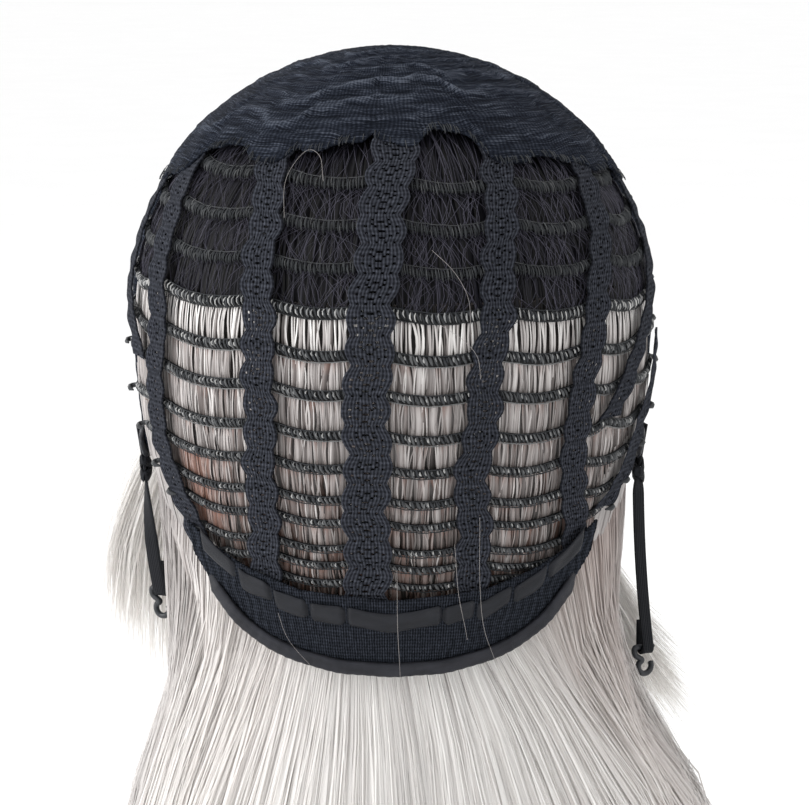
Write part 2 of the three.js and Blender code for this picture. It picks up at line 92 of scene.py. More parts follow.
# How far the front's cloth stands off the form: it hugs the sides and stands out at the ear tabs
FRONT = dict(angle=[90, 97, 102, 107, 112, 119, 130], offset=[-0.8, 0.4, 2.6, 4.2, 3.4, 1.8, 1.2])
BAND_TOP = dict(angle=[0, 22, 35, 45, 53], depth=[78, 75.5, 70, 64, 57])
BAND_END = 52
RIBBON = dict(angle=[0, 22, 35, 43, 48], depth=[84.5, 81.5, 74.5, 67, 61])
RIBBON_HEIGHT = 6
RIBBON_TUCKS = (-48, -38, -29, -20, -11, 12, 20, 29, 38, 48)

# Lace strips: the angle of each at five stations between its top and its low end
Strip = namedtuple("Strip", "width top low angles")
STRIPS = (
    Strip(10, -66, 10, (-86, -84, -83, -80, -69)),
    Strip(10, -66, 68, (-72, -63.5, -58.5, -61.5, -49.5)),
    Strip(10, -66, 82, (-36, -30, -28, -29, -31)),
    Strip(13, -66, 86, (2, -2.5, -5, -5.4, -6)),
    Strip(10, -66, 82, (34, 25, 20, 17, 20)),
    Strip(10, -66, 68, (68, 56, 46.5, 41.5, 47)),
    Strip(10, -66, 26, (86, 84, 81, 69, 53)),
    Strip(9, 5, 55, (85.5, 80, 71, 66, 56)),
)
SCALLOP_LENGTH = 9
SCALLOP = 0.8

# Wefts from the crown down: level of each track at the back, its height, and where it ends
Weft = namedtuple("Weft", "depth height end")
WEFTS = (
    Weft(-50, 3.4, 97),
    Weft(-38, 3.4, 97),
    Weft(-25.5, 3.4, 97),
    Weft(-12.5, 3.4, 97),
    Weft(0.5, 3.4, 96),
    Weft(12.5, 3.2, 90),
    Weft(25, 3, 79),
    Weft(35.5, 2.8, 72),
    Weft(45.5, 2.6, 64),
    Weft(53, 2.4, 58),
    Weft(61.5, 2.2, 50),
    Weft(67, 2.2, 43),
    Weft(73, 2.2, 32),
)
DARK_WEFTS = 3
WEFT_TILT = 3
WEFT_SAG = 2.6

# Fall of the hair below the rim, by angle: where it leans, how far out at once and how far below
# the straps, and the depth of its tips, with a drift to the right
FALL = dict(
    angle=[0, 20, 38, 55, 75, 90, 100, 110, 118, 128, 150, 180],
    lean=[0, 55, 75, 85, 90, 90, 94, 100, 104, 112, 140, 180],
    out=[8, 36, 48, 22, -2, -8, -10, -6, 26, 26, 16, 8],
    flare=[0, 0, 6, 13, 19, 24, 10, 0, 0, 0, 0, 0],
    tip=[346, 343, 338, 330, 318, 300, 240, 150, 120, 114, 108, 104],
)
FALL_EASE = 1.8
FLARE_TOP = 100
FLARE_LOW = 185
DRIFT = 17
DRIFT_TOP = 90
DRIFT_LENGTH = 60
DRIFT_LEFT_LOSS = 0.55
LINING_BELOW_RIM = 4
LINING_LEAST = 30
DARK_TOP_LATITUDE = 36
DARK_LOW = -14
LINING_LAP = 0.7

# Stations at which lines on the cap are measured
LINE_SAMPLES = 721
RIM_SAMPLES = 900


# Reading the tables and the form

def read(table, column, angle):
    at = np.abs((np.asarray(angle, float) + 180) % 360 - 180)
    return np.interp(at, table["angle"], table[column])


def bell(value, middle, width, power=2):
    """A smooth hump of height 1."""
    return np.exp(-(((value - middle) / width) ** power))


def ripple(along, length, phase=0.0):
    """An even wave of a stated length."""
    return np.sin(2 * np.pi * along / length + phase)


def as_angle(distance):
    """The angle that a distance takes up round the widest level."""
    return np.degrees(distance / HALF_WIDTH)


def latitude_at(depth):
    depth = np.asarray(depth, float)
    above = np.degrees(np.arccos(np.clip(-depth / CROWN_RISE, -1, 1)))
    return np.where(depth < 0, above, 90 + np.degrees(depth / CROWN_RISE))


def form_point(angle, latitude):
    angle, latitude = np.broadcast_arrays(np.asarray(angle, float), np.asarray(latitude, float))
    turn = np.radians(angle)
    above = latitude < 90
    depth = np.where(above, 0, np.radians(latitude - 90) * CROWN_RISE)
    tuck = (depth / NAPE_DEPTH) ** 2
    ring = np.where(above, np.sin(np.radians(latitude)), 1)
    height = np.where(above, np.cos(np.radians(latitude)) * CROWN_RISE, -depth)
    across = (HALF_WIDTH - SIDE_TUCK * tuck) * ring
    back = BACK_REACH - NAPE_TUCK * tuck
    front = FRONT_REACH - FRONT_TUCK * tuck
    reach = np.where(np.cos(turn) > 0, back, front) * ring
    return np.stack([across * np.sin(turn), -reach * np.cos(turn), WIDEST_Z + height], axis=-1)


def unit(vectors):
    return vectors / np.maximum(np.linalg.norm(vectors, axis=-1, keepdims=True), 1e-9)


def form_normal(angle, latitude):
    step = 0.05
    at = np.maximum(latitude, 0.5)
    along = form_point(angle + step, at) - form_point(angle - step, at)
    down = form_point(angle, at + step) - form_point(angle, at - step)
    return unit(np.cross(down, along))


def at_latitude(angle, latitude, offset):
    angle = np.asarray(angle, float)
    offset = np.asarray(offset, float)[..., None]
    return form_point(angle, latitude) + form_normal(angle, latitude) * offset


def cap(angle, depth, offset=0.0):
    return at_latitude(angle, latitude_at(depth), offset)


def cap_normal(angle, depth):
    return form_normal(np.asarray(angle, float), latitude_at(depth))


def strip_angle(strip, depth):
    share = np.clip((np.asarray(depth, float) - strip.top) / (strip.low - strip.top), 0, 1)
    return np.interp(share, np.linspace(0, 1, len(strip.angles)), strip.angles)


def weft_depth(weft, angle):
    crossed = [strip for strip in STRIPS if strip.top < weft.depth < strip.low]
    holds = np.sort([strip_angle(strip, weft.depth) for strip in crossed])
    place = np.searchsorted(holds, angle, side="right")
    inside = (place > 0) & (place < len(holds))
    left = holds[np.clip(place - 1, 0, len(holds) - 1)]
    right = holds[np.clip(place, 0, len(holds) - 1)]
    span = np.where(inside, right - left, 1)
    sag = np.where(inside, np.sin(np.pi * (angle - left) / span), 0)
    return weft.depth + WEFT_TILT * np.sin(np.radians(angle)) + WEFT_SAG * sag


def lining_low(angle):
    return np.maximum(read(RIM, "depth", angle) + LINING_BELOW_RIM, LINING_LEAST)


def run_along(points):
    """Length along a line of points, from its start."""
    return np.concatenate([[0], np.cumsum(np.linalg.norm(np.diff(points, axis=0), axis=1))])


def even_angles(depth_of, start, end, spacing):
    """Angles at even lengths along a line on the cap."""
    fine = np.linspace(start, end, LINE_SAMPLES)
    along = run_along(cap(fine, depth_of(fine)))
    count = max(2, round(along[-1] / spacing))
    return np.interp((np.arange(count) + 0.5) / count * along[-1], along, fine)


# Meshes: grids, tubes and flat or arched strands

def cloth_map(across, along):
    """Flat coordinates, in millimetres across and along the cloth."""
    return np.stack(np.broadcast_arrays(across, along), axis=-1)


def grid_faces(rows, columns, wraps=False, keep=None):
    across = columns if wraps else columns + 1
    row, column = np.meshgrid(np.arange(rows), np.arange(columns), indexing="ij")
    right = (column + 1) % across
    corners = [
        row * across + column,
        (row + 1) * across + column,
        (row + 1) * across + right,
        row * across + right,
    ]
    quads = np.stack(corners, axis=-1)
    return quads.reshape(-1, 4) if keep is None else quads[keep]


def tape_faces(count, sides):
    """Faces of one closed tube, with a flat face at each end."""
    last = count * sides
    ends = [list(range(sides)), list(range(last - 1, last - sides - 1, -1))]
    return grid_faces(count - 1, sides, wraps=True).tolist() + ends


def strand_faces(count, rows, columns, wraps=False):
    one = grid_faces(rows, columns, wraps)
    size = (rows + 1) * (columns if wraps else columns + 1)
    return (one[None] + size * np.arange(count)[:, None, None]).reshape(-1, 4)


def tubes(paths, ups, wide, thick, sides):
    """Round or flat tubes along paths [count, steps, 3]; ups point out of the cloth."""
    tangent = unit(np.gradient(paths, axis=1))
    side = unit(np.cross(tangent, ups))
    out = np.cross(side, tangent)
    turn = np.arange(sides) * 2 * math.pi / sides
    wide = np.broadcast_to(wide, paths.shape[:2])[..., None, None]
    thick = np.broadcast_to(thick, paths.shape[:2])[..., None, None]
    across = side[:, :, None] * np.cos(turn)[:, None] * wide
    through = out[:, :, None] * np.sin(turn)[:, None] * thick
    points = paths[:, :, None] + across + through
    faces = strand_faces(len(paths), paths.shape[1] - 1, sides, wraps=True)
    return points.reshape(-1, 3), faces


def laid(at, depth, offset):
    """Paths on the cap, with the directions across and out of each."""
    paths = cap(at, depth, offset)
    outs = cap_normal(at, depth)
    return paths, unit(np.cross(np.gradient(paths, axis=1), outs)), outs


def bundles(paths, sides, outs, wide, arch, columns, along, draw, ridges=(0.5, 1.3), spread=500):
    """Arched strands along paths [count, steps, 3] with fine ridges, and their cloth map."""
    count = len(paths)
    ridge = draw.uniform(*ridges, (count, columns))
    across = np.linspace(-1, 1, columns)
    wide = np.broadcast_to(wide, paths.shape[:2])[..., None]
    lift = arch * wide * (1 - across**2) * ridge[:, None, :]
    points = (
        paths[:, :, None]
        + sides[:, :, None] * (across * wide / 2)[..., None]
        + outs[:, :, None] * lift[..., None]
    )
    faces = strand_faces(count, paths.shape[1] - 1, columns - 1)
    start = draw.uniform(0, spread, (count, 1, 1))
    return (points.reshape(-1, 3), faces), cloth_map(start + across * wide / 2, along[..., None])


def joined(*parts):
    """One mesh from (points, faces) pairs."""
    points = [np.asarray(part[0]).reshape(-1, 3) for part in parts]
    starts = np.cumsum([0] + [len(block) for block in points[:-1]])
    faces = [np.asarray(part[1]) + start for part, start in zip(parts, starts)]
    return np.concatenate(points), np.concatenate(faces)


def unmapped(mesh, tint):
    """A set of plain strands: their mesh, a bare cloth map, their tints and no warmth."""
    count = len(mesh[0])
    return mesh, np.zeros((count, 2)), np.broadcast_to(tint, count), np.zeros(count)


def gathered(sets):
    """One set of strands from several, each a mesh, a cloth map, tints and warmths."""
    meshes, maps, tints, warms = zip(*sets)
    uv = np.concatenate([block.reshape(-1, 2) for block in maps])
    tint, warm = (np.concatenate([block.ravel() for block in blocks]) for blocks in (tints, warms))
    return joined(*meshes), uv, tint, warm


def piece(name, mesh_parts, material, slot, stands_for=(), uv=None, thick=0.0, **values):
    """A finished piece from points in millimetres, riding on the part's one body."""
    points, faces = mesh_parts
    corners = [list(face) for face in faces]
    mesh = bpy.data.meshes.new(name)
    mesh.from_pydata((np.asarray(points).reshape(-1, 3) * MM).tolist(), [], corners)
    mesh.polygons.foreach_set("use_smooth", np.ones(len(mesh.polygons), bool))
    if uv is not None:
        corners = np.empty(len(mesh.loops), np.int32)
        mesh.loops.foreach_get("vertex_index", corners)
        layer = mesh.uv_layers.new(name="cloth")
        layer.data.foreach_set("uv", np.asarray(uv, np.float32).reshape(-1, 2)[corners].ravel())
    for key, value in values.items():
        attribute = mesh.attributes.new(key, "FLOAT", "POINT")
        attribute.data.foreach_set("value", np.asarray(value, np.float32).ravel())
    mesh.materials.append(material)
    shown = bpy.data.objects.new(name, mesh)
    bpy.context.scene.collection.objects.link(shown)
    if thick:
        wall = shown.modifiers.new("wall", "SOLIDIFY")
        wall.thickness = thick * MM
        wall.offset = -1
    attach(shown, BODY)
    if stands_for:
        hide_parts(*stands_for)
    return shown


def strand_piece(name, strands, material, slot, stands_for=()):
    mesh, uv, tint, warm = strands
    piece(name, mesh, material, slot, stands_for, uv, tint=tint, warm=warm)


# Materials

class Shader:
    """A material's node tree round its Principled shader."""

    def __init__(self, name, **surface):
        self.material = bpy.data.materials.new(name)
        self.material.use_nodes = True
        self.tree = self.material.node_tree
        self.surface = self.tree.nodes["Principled BSDF"]
        for key, value in surface.items():
            self.put(self.surface.inputs[key.replace("_", " ")], value)

    def put(self, socket, value):
        if isinstance(value, bpy.types.NodeSocket):
            self.tree.links.new(value, socket)
        else:
            socket.default_value = value

    def node(self, kind, sockets, **settings):
        made = self.tree.nodes.new("ShaderNode" + kind)
        for key, value in settings.items():
            setattr(made, key, value)
        for key, value in sockets.items():
            self.put(made.inputs[key], value)
        return made

    def value(self, name):
        return self.node("Attribute", {}, attribute_name=name).outputs["Fac"]

    def cloth(self, across=1.0, along=1.0):
        return self.scaled(self.node("UVMap", {}, uv_map="cloth").outputs["UV"], across, along)

    def solid(self):
        return self.node("TexCoord", {}).outputs["Object"]

    def vectors(self, operation, *terms, **sockets):
        return self.node("VectorMath", dict(enumerate(terms)) | sockets, operation=operation).outputs[0]

    def scaled(self, place, across, along):
        return self.vectors("MULTIPLY", place, (across, along, 1))

    def warped(self, place, scale, reach):
        drift = self.node("TexNoise", {"Vector": place, "Scale": scale, "Detail": 2.0}).outputs["Color"]
        even = self.vectors("SUBTRACT", drift, (0.5, 0.5, 0.5))
        return self.vectors("ADD", place, self.vectors("SCALE", even, Scale=reach))

    def math(self, operation, *terms):
        return self.node("Math", dict(enumerate(terms)), operation=operation).outputs[0]

    def sum(self, first, weight, second):
        """The first amount, weighted, and the second."""
        return self.math("MULTIPLY_ADD", first, weight, second)

    def noise(self, place, scale, detail=2.0, roughness=0.5):
        sockets = {"Vector": place, "Scale": scale, "Detail": detail, "Roughness": roughness}
        return self.node("TexNoise", sockets).outputs["Fac"]

    def wave(self, place, axis, scale, distortion, detail_scale=1.0):
        sockets = {"Vector": place, "Scale": scale, "Distortion": distortion}
        sockets.update({"Detail": 2.0, "Detail Scale": detail_scale})
        return self.node("TexWave", sockets, bands_direction=axis).outputs["Fac"]

    def ramp(self, amount, stops):
        made = self.node("ValToRGB", {"Fac": amount})
        elements = made.color_ramp.elements
        for _ in range(len(stops) - 2):
            elements.new(0.5)
        for element, (place, colour) in zip(elements, stops):
            element.position = place
            element.color = (*colour, 1)
        return made.outputs["Color"]

    def toned(self, amount, tone, low, high):
        """A colour from dark to light shades of one tone, each end a place and a share of the tone."""
        return self.ramp(amount, [(place, [share * c for c in tone]) for place, share in (low, high)])

    def blend(self, amount, first, second):
        made = self.node("Mix", {"Factor": amount}, data_type="RGBA")
        for socket, colour in ((made.inputs[6], first), (made.inputs[7], second)):
            self.put(socket, colour if isinstance(colour, bpy.types.NodeSocket) else (*colour, 1))
        return made.outputs[2]

    def bump(self, height, distance):
        sockets = {"Height": height, "Distance": distance * MM, "Strength": 1.0}
        self.put(self.surface.inputs["Normal"], self.node("Bump", sockets).outputs["Normal"])

    def colour(self, colour):
        self.put(self.surface.inputs["Base Color"], colour)


def knit_material(name, dark, light, stitch):
    """A fine knit: upright ribs of small stitches, with threads of slightly different tone."""
    shader = Shader(name, Roughness=0.9, Specular_IOR_Level=0.06)
    place = shader.cloth(1 / stitch, 1 / stitch)
    ribs = shader.wave(place, "X", 0.32, 1.6, 1.4)
    loops = shader.wave(place, "Y", 0.22, 2.2, 1.8)
    threads = shader.sum(ribs, 0.65, shader.math("MULTIPLY", loops, 0.35))
    mottle = shader.noise(shader.cloth(0.5, 0.5), 1.3, 5.0, 0.65)
    tone = shader.math("MULTIPLY", threads, shader.sum(mottle, 1.5, -0.15))
    shader.colour(shader.ramp(tone, [(0.08, dark), (0.5, light), (0.95, [2.1 * c for c in light])]))
    shader.bump(threads, 0.28)
    return shader.material


def net_material():
    """Soft knit net: fine wavy threads round the crown, some lighter, with painted highlight on the folds'
    crests and painted shade in their hollows.
    """
    shader = Shader("net_knit", Roughness=0.9, Specular_IOR_Level=0.05)
    place = shader.warped(shader.cloth(), 0.1, 4.0)
    threads = shader.noise(shader.scaled(place, 0.075, 3.4), 1.0, 3.0, 0.65)
    upright = shader.wave(shader.scaled(place, 1, 0.4), "X", 0.26, 1.4)
    patches = shader.noise(shader.cloth(0.06, 0.1), 1.0, 3.0)
    knit = shader.sum(upright, 0.1, threads)
    tone = shader.sum(patches, 0.2, shader.sum(knit, 1.25, -0.3))
    # Painted light on the folds: the cloth's height above the crest level lightens the crests and darkens
    # the hollows.
    tone = shader.sum(shader.value("fold"), 0.2, tone)
    stops = [(0.3, (0.006, 0.0075, 0.0115)), (0.5, (0.0205, 0.025, 0.037)), (0.74, (0.098, 0.111, 0.14))]
    shader.colour(shader.ramp(tone, stops))
    shader.bump(knit, 0.5)
    return shader.material


def satin_material(name, tone):
    """Smooth woven tape with a soft gloss along its length."""
    shader = Shader(name, Roughness=0.5, Specular_IOR_Level=0.18)
    folds = shader.noise(shader.cloth(0.12, 0.4), 1.0, 3.0)
    weave = shader.sum(shader.wave(shader.cloth(), "Y", 1.1, 0.6, 2.0), 0.3, folds)
    shader.colour(shader.toned(weave, tone, (0.25, 0.45), (0.95, 1.6)))
    shader.bump(weave, 0.12)
    return shader.material


def elastic_material(name, tone):
    """Woven elastic with fine cords along its length."""
    shader = Shader(name, Roughness=0.7, Specular_IOR_Level=0.15)
    cords = shader.wave(shader.cloth(), "X", 0.45, 0.2)
    weave = shader.sum(shader.wave(shader.cloth(), "Y", 0.6, 0.5), 0.4, cords)
    shader.colour(shader.toned(weave, tone, (0.1, 0.4), (1.0, 1.4)))
    shader.bump(weave, 0.15)
    return shader.material


def hook_material():
    """Dark moulded plastic with a hard gloss and faint handling marks."""
    shader = Shader("hook_plastic", Specular_IOR_Level=0.4, Coat_Weight=0.1, Coat_Roughness=0.1)
    marks = shader.noise(shader.solid(), 900.0, 4.0, 0.7)
    shader.colour(shader.ramp(marks, [(0.3, (0.008, 0.0095, 0.012)), (0.75, (0.026, 0.03, 0.036))]))
    rough = shader.node("MapRange", {"Value": marks, "To Min": 0.25, "To Max": 0.42})
    shader.put(shader.surface.inputs["Roughness"], rough.outputs["Result"])
    shader.bump(marks, 0.05)
    return shader.material


def hair_material(name, stops, warm_tone, streaks, glow=0.0):
    """Strands: the tint of each, streaks along it, a warm stain, and some light let through."""
    shader = Shader(name, Roughness=0.5, Specular_IOR_Level=0.2)
    fibres = shader.noise(shader.cloth(7.0, 0.05), 1.0, 2.0, 0.6)
    drift = shader.noise(shader.cloth(1.2, 0.02), 1.0, 2.0)
    mixed = shader.sum(fibres, 0.5, shader.sum(drift, 0.35, -0.43))
    tint = shader.sum(mixed, streaks, shader.value("tint"))
    colour = shader.blend(shader.value("warm"), shader.ramp(tint, stops), warm_tone)
    shader.colour(colour)
    if glow:
        through = shader.node("BsdfTranslucent", {"Color": colour}).outputs[0]
        both = {0: glow, 1: shader.surface.outputs[0], 2: through}
        shaded = shader.node("MixShader", both).outputs[0]
        shader.put(shader.tree.nodes["Material Output"].inputs["Surface"], shaded)
    return shader.material


SILVER_STOPS = [
    (0.0, (0.010, 0.009, 0.008)),
    (0.25, (0.148, 0.131, 0.126)),
    (0.5, (0.403, 0.375, 0.366)),
    (0.75, (0.653, 0.628, 0.613)),
    (1.0, (0.94, 0.925, 0.905)),
]
DARK_STOPS = [
    (0.0, (0.002, 0.0018, 0.002)),
    (0.5, (0.0105, 0.0101, 0.0165)),
    (1.0, (0.083, 0.08, 0.108)),
]
THREAD_STOPS = [
    (0.0, (0.003, 0.0035, 0.0038)),
    (0.45, (0.036, 0.039, 0.043)),
    (0.7, (0.235, 0.238, 0.24)),
    (1.0, (0.78, 0.77, 0.75)),
]
net_cloth = net_material()
lace_cloth = knit_material("lace_knit", (0.010, 0.011, 0.0145), (0.041, 0.0445, 0.056), 1.0)
band_cloth = knit_material("band_knit", (0.004, 0.005, 0.0068), (0.027, 0.031, 0.041), 0.8)
satin = satin_material("satin_tape", (0.0175, 0.0183, 0.0232))
ribbon_satin = satin_material("ribbon_satin", (0.0125, 0.0135, 0.017))
elastic = elastic_material("strap_elastic", (0.013, 0.014, 0.017))
hook_plastic = hook_material()
silver_hair = hair_material("silver_hair", SILVER_STOPS, (0.26, 0.13, 0.095), 0.85)
long_hair = hair_material("long_hair", SILVER_STOPS, (0.50, 0.385, 0.345), 0.32, 0.28)
dark_hair = hair_material("dark_hair", DARK_STOPS, (0.05, 0.03, 0.02), 1.0)
weft_thread = hair_material("weft_thread", THREAD_STOPS, (0.30, 0.09, 0.065), 1.0)


# The crown net: one knit cloth in soft folds, running on over the front

NET_COLUMNS = 252
CROWN_ROWS = 118
CROWN_START = 0.02
FRONT_ROWS = 40
NET_WALL = 0.9
NET_MIDDLE = NET_TOP - 0.5
NET_EDGE_RISE = 2.5
NET_FRONT_DROP = 3
NET_GATHER = 0.6
# Fold height at which the net's painted light turns from painted shade to painted highlight
CREST_LEVEL = 0.45
SEAM_DROP = 6.5
SEAM_WIDTH = 8.5
PLEATS = 7.2
PLEAT_WIDTH = 0.19
PLEAT_HEIGHT = 1.3
WRINKLE_LENGTH = 4.6
WRINKLE_HEIGHT = 0.25
NET_RIB = 1.9
NET_RIB_HEIGHT = 0.14
HEM_START = 0.85
HEM_LENGTH = 0.15
HEM_TUCK = 0.9
HEM_STITCHES = 210
HEM_STITCH_END = 92
HEM_STITCH_STEPS = 4
HEM_THREAD = 0.12
THREAD_SIDES = 3


def net_edge(angle):
    """Depth of the net's edge: it runs down on to the strips and is arched between them."""
    turn = np.radians(angle)
    sewn = [strip.angles[0] for strip in STRIPS if strip.top < 0]
    apart = np.min([np.abs(angle - at) for at in sewn], axis=0)
    seam = SEAM_DROP * bell(apart, 0, SEAM_WIDTH, 4)
    waver = 0.5 * np.sin(13 * turn + 1) + 0.3 * np.sin(29 * turn)
    drop = np.interp(angle, NET_DROP["angle"], NET_DROP["depth"])
    edge = read(NET_EDGE, "depth", angle) - NET_EDGE_RISE
    return edge + np.where(np.abs(angle) < FRONT_START, np.maximum(seam, drop) + waver, NET_FRONT_DROP)


def net_fold(angle, crown, down):
    """Height of the cloth's folds at an angle, a share of the crown and a length down it."""
    turn = np.radians(angle)
    back = 0.35 + 0.65 * np.clip(np.cos(turn), 0, 1)
    fade = np.sin(np.pi * np.clip(crown, 0, 1)) ** 0.5
    wander = 0.9 * np.sin(2 * turn + 0.8) + 0.5 * np.sin(5 * turn + 2) + 0.25 * np.sin(11 * turn)
    pleat = PLEATS * crown + 0.32 * wander
    number = np.floor(pleat)
    rise = 0.62 + 0.38 * np.sin(1.7 * turn + 1.9 * number)
    folds = PLEAT_HEIGHT * rise * bell(pleat - number, 0.5, PLEAT_WIDTH)
    wrinkles = WRINKLE_HEIGHT * ripple(down, WRINKLE_LENGTH, 2.2 * wander + 1.4 * np.sin(3 * turn))
    ribs = NET_RIB_HEIGHT * ripple(down, NET_RIB, 1.2 * np.sin(7 * turn + 0.5 * down) + wander)
    return fade * back * (folds + wrinkles) + ribs


def crown_net():
    angle = np.linspace(-180, 180, NET_COLUMNS + 1)[None, :]
    crown = np.linspace(CROWN_START, 1, CROWN_ROWS + 1)[:, None]
    front = np.linspace(0, 1, FRONT_ROWS + 1)[1:, None]
    edge = latitude_at(net_edge(angle))
    rim = latitude_at(read(RIM, "depth", angle) - RIM_TURN)
    latitude = np.concatenate([edge * crown, edge + (rim - edge) * front])
    share = np.concatenate([crown, 1 + front])
    down = np.radians(latitude) * CROWN_RISE
    fold = net_fold(angle, share, down)
    hem = np.clip((share - HEM_START) / HEM_LENGTH, 0, 1) * (np.abs(angle) < FRONT_START)
    settle = np.clip((share - 0.9) * 5, 0, 1) * (np.abs(angle) >= FRONT_START - 4)
    offset = NET_MIDDLE + fold - HEM_TUCK * hem
    offset = offset + settle * (read(FRONT, "offset", angle) - NET_MIDDLE)
    points = at_latitude(angle, latitude, offset).reshape(-1, 3)
    middle = (angle[0, :-1] + angle[0, 1:]) / 2
    keep = np.ones((CROWN_ROWS + FRONT_ROWS, NET_COLUMNS), bool)
    keep[CROWN_ROWS:] = np.abs(middle)[None, :] > FRONT_START
    faces = grid_faces(CROWN_ROWS + FRONT_ROWS, NET_COLUMNS, keep=keep)
    uv = cloth_map(np.radians(angle) * HALF_WIDTH * NET_GATHER, down)
    apex = at_latitude(np.array([0.0]), np.array([0.0]), np.array([NET_MIDDLE]))
    first = np.arange(NET_COLUMNS)
    fan = np.stack([np.full(NET_COLUMNS, len(points)), first, first + 1], axis=-1)
    uv = np.concatenate([uv.reshape(-1, 2), [[0, 0]]])
    # The folds' height above the crest level, for painted highlight on the crests and painted shade in the
    # hollows.
    fold_light_and_shade = np.append((fold - CREST_LEVEL).ravel(), 0)
    return (np.concatenate([points, apex]), faces.tolist() + fan.tolist()), uv, fold_light_and_shade


def hem_stitches():
    """The upright stitches that show along the net's edge."""
    draw = np.random.default_rng(21)
    size = (HEM_STITCHES, 1)
    angle = draw.uniform(-HEM_STITCH_END, HEM_STITCH_END, HEM_STITCHES)
    share = np.linspace(0, 1, HEM_STITCH_STEPS)
    start = net_edge(angle) - draw.uniform(0.9, 1.7, HEM_STITCHES)
    depth = start[:, None] + draw.uniform(1.4, 2.4, size) * share
    at = angle[:, None] + draw.normal(0, 0.35, size) * share
    offset = NET_MIDDLE - 0.55 + 0.25 * np.sin(np.pi * share) + 0.1 * draw.random(size)
    mesh = tubes(cap(at, depth, offset), cap_normal(at, depth), HEM_THREAD, HEM_THREAD, THREAD_SIDES)
    tint = draw.uniform(0.32, 0.5, HEM_STITCHES)
    return unmapped(mesh, np.repeat(tint, HEM_STITCH_STEPS * THREAD_SIDES))


# Lace strips: scalloped knit lace with a charted repeat of eyelets

LACE_CELL = 0.7
LACE_WALL = 0.6
LACE_SINK = 0.2
LACE_CHART = (
    "..............",
    "....o....o....",
    "......oo......",
    "....o....o....",
    "..o..o..o..o..",
    "..............",
    "......oo......",
    "..o........o..",
    "....o....o....",
    "......oo......",
    "..............",
    "..o..o..o..o..",
    "..............",
)


def lace_strip(strip):
    top, low = latitude_at(strip.top), latitude_at(strip.low)
    length = float(np.radians(low - top) * CROWN_RISE)
    rows = round(length / LACE_CELL)
    columns = len(LACE_CHART[0])
    share = np.linspace(0, 1, rows + 1)[:, None]
    across = np.linspace(-1, 1, columns + 1)[None, :]
    latitude = top + (low - top) * share
    along = share * length
    lobe = np.abs(np.sin(np.pi * along / SCALLOP_LENGTH))
    half = strip.width / 2 + SCALLOP * (2 * lobe - 1)
    reach = form_point(np.array(90.0), latitude)[..., 0]
    middle = np.interp(share, np.linspace(0, 1, len(strip.angles)), strip.angles)
    waver = 0.6 * ripple(along, 31, strip.low) + 0.35 * ripple(along, 13)
    angle = middle + np.degrees((half * across + waver) / reach)
    curl = 0.35 * np.abs(across) ** 3 * (0.5 + lobe) + 0.12 * ripple(along, 6.1, 2 * across)
    points = at_latitude(angle, latitude, STRIP_TOP_FACE - LACE_SINK + curl)
    chart = np.array([[mark != "o" for mark in line] for line in LACE_CHART])
    keep = chart[np.arange(rows) % len(chart)]
    uv = cloth_map(across * strip.width / 2, along + strip.low)
    return (points, grid_faces(rows, columns, keep=keep)), uv, length


# Weft tracks: a sewn bar, the hair looped over it in slanted strokes, and thread along its edges

STROKE_STEPS = 4
STROKE_SIDES = 4
STROKE_TAPER = np.array([0.55, 1.0, 0.9, 0.3])
STROKE_THICK = 0.36
BAR_SIDES = 6
BAR_TINT = 0.1
TRACK_STEP = 1.8
TRACK_SPACING = 1.5

# The loop at a track's end: how far beyond the end, how far out, and how thick
TRACK_LOOP = dict(
    beyond=np.array([-2.0, 0.5, 2.2, 3.0, 2.4, 0.6, -1.5]),
    lift=np.array([0.2, 0.7, 1.2, 2.2, 3.1, 3.2, 2.4]),
    thick=np.array([0.5, 0.9, 1.0, 1.0, 1.0, 0.9, 0.3]),
)
LOOP_TINT = 0.34


def track_angles(weft, spacing):
    return even_angles(lambda at: weft_depth(weft, at), -weft.end, weft.end, spacing)


def track_line(weft, spread, offset):
    angle = track_angles(weft, TRACK_STEP)
    depth = weft_depth(weft, angle) + spread
    return cap(angle, depth, offset)[None], cap_normal(angle, depth)[None]


def track_strokes(weft, pitch, lean, draw, tall=1.0, rise=0.0, wide=0.3, bow=0.0, ragged=0.1):
    """Strokes over the bar: how tall and how far up they sit, as shares of the track's height."""
    angle = track_angles(weft, pitch)
    angle = angle + as_angle(draw.normal(0, 0.1 * pitch, len(angle)))
    size = (len(angle), 1)
    share = np.linspace(-0.5, 0.5, STROKE_STEPS)
    reach = tall * weft.height * draw.uniform(0.8, 1.08, size)
    lift = (draw.uniform(-ragged, ragged, size) - rise) * weft.height
    slant = lean * draw.normal(1, 0.25, size) * share - bow * np.cos(np.pi * share)
    at = angle[:, None] + as_angle(slant)
    depth = weft_depth(weft, angle)[:, None] + lift + reach * share
    offset = TRACK_MIDDLE + 0.55 + 0.65 * np.cos(np.pi * share) + draw.normal(0, 0.08, size)
    paths = cap(at, depth, offset + 0.12 * (tall < 1))
    half = wide * pitch * STROKE_TAPER * draw.uniform(0.75, 1.25, size)
    mesh = tubes(paths, cap_normal(at, depth), half, STROKE_THICK * STROKE_TAPER, STROKE_SIDES)
    return mesh, len(angle)


def track_ends(weft):
    """The row turned back in a small loop at each end."""
    count = len(TRACK_LOOP["beyond"])
    paths = []
    for side in (-1, 1):
        at = side * (weft.end + as_angle(TRACK_LOOP["beyond"]))
        depth = weft_depth(weft, np.full(count, side * weft.end)) + np.linspace(-0.6, 0.8, count)
        paths.append(cap(at, depth, TRACK_MIDDLE + TRACK_LOOP["lift"]))
    ups = np.broadcast_to([0.0, 0.0, 1.0], (2, count, 3))
    return tubes(np.array(paths), ups, 0.75 * TRACK_LOOP["thick"], 0.9 * TRACK_LOOP["thick"], BAR_SIDES)


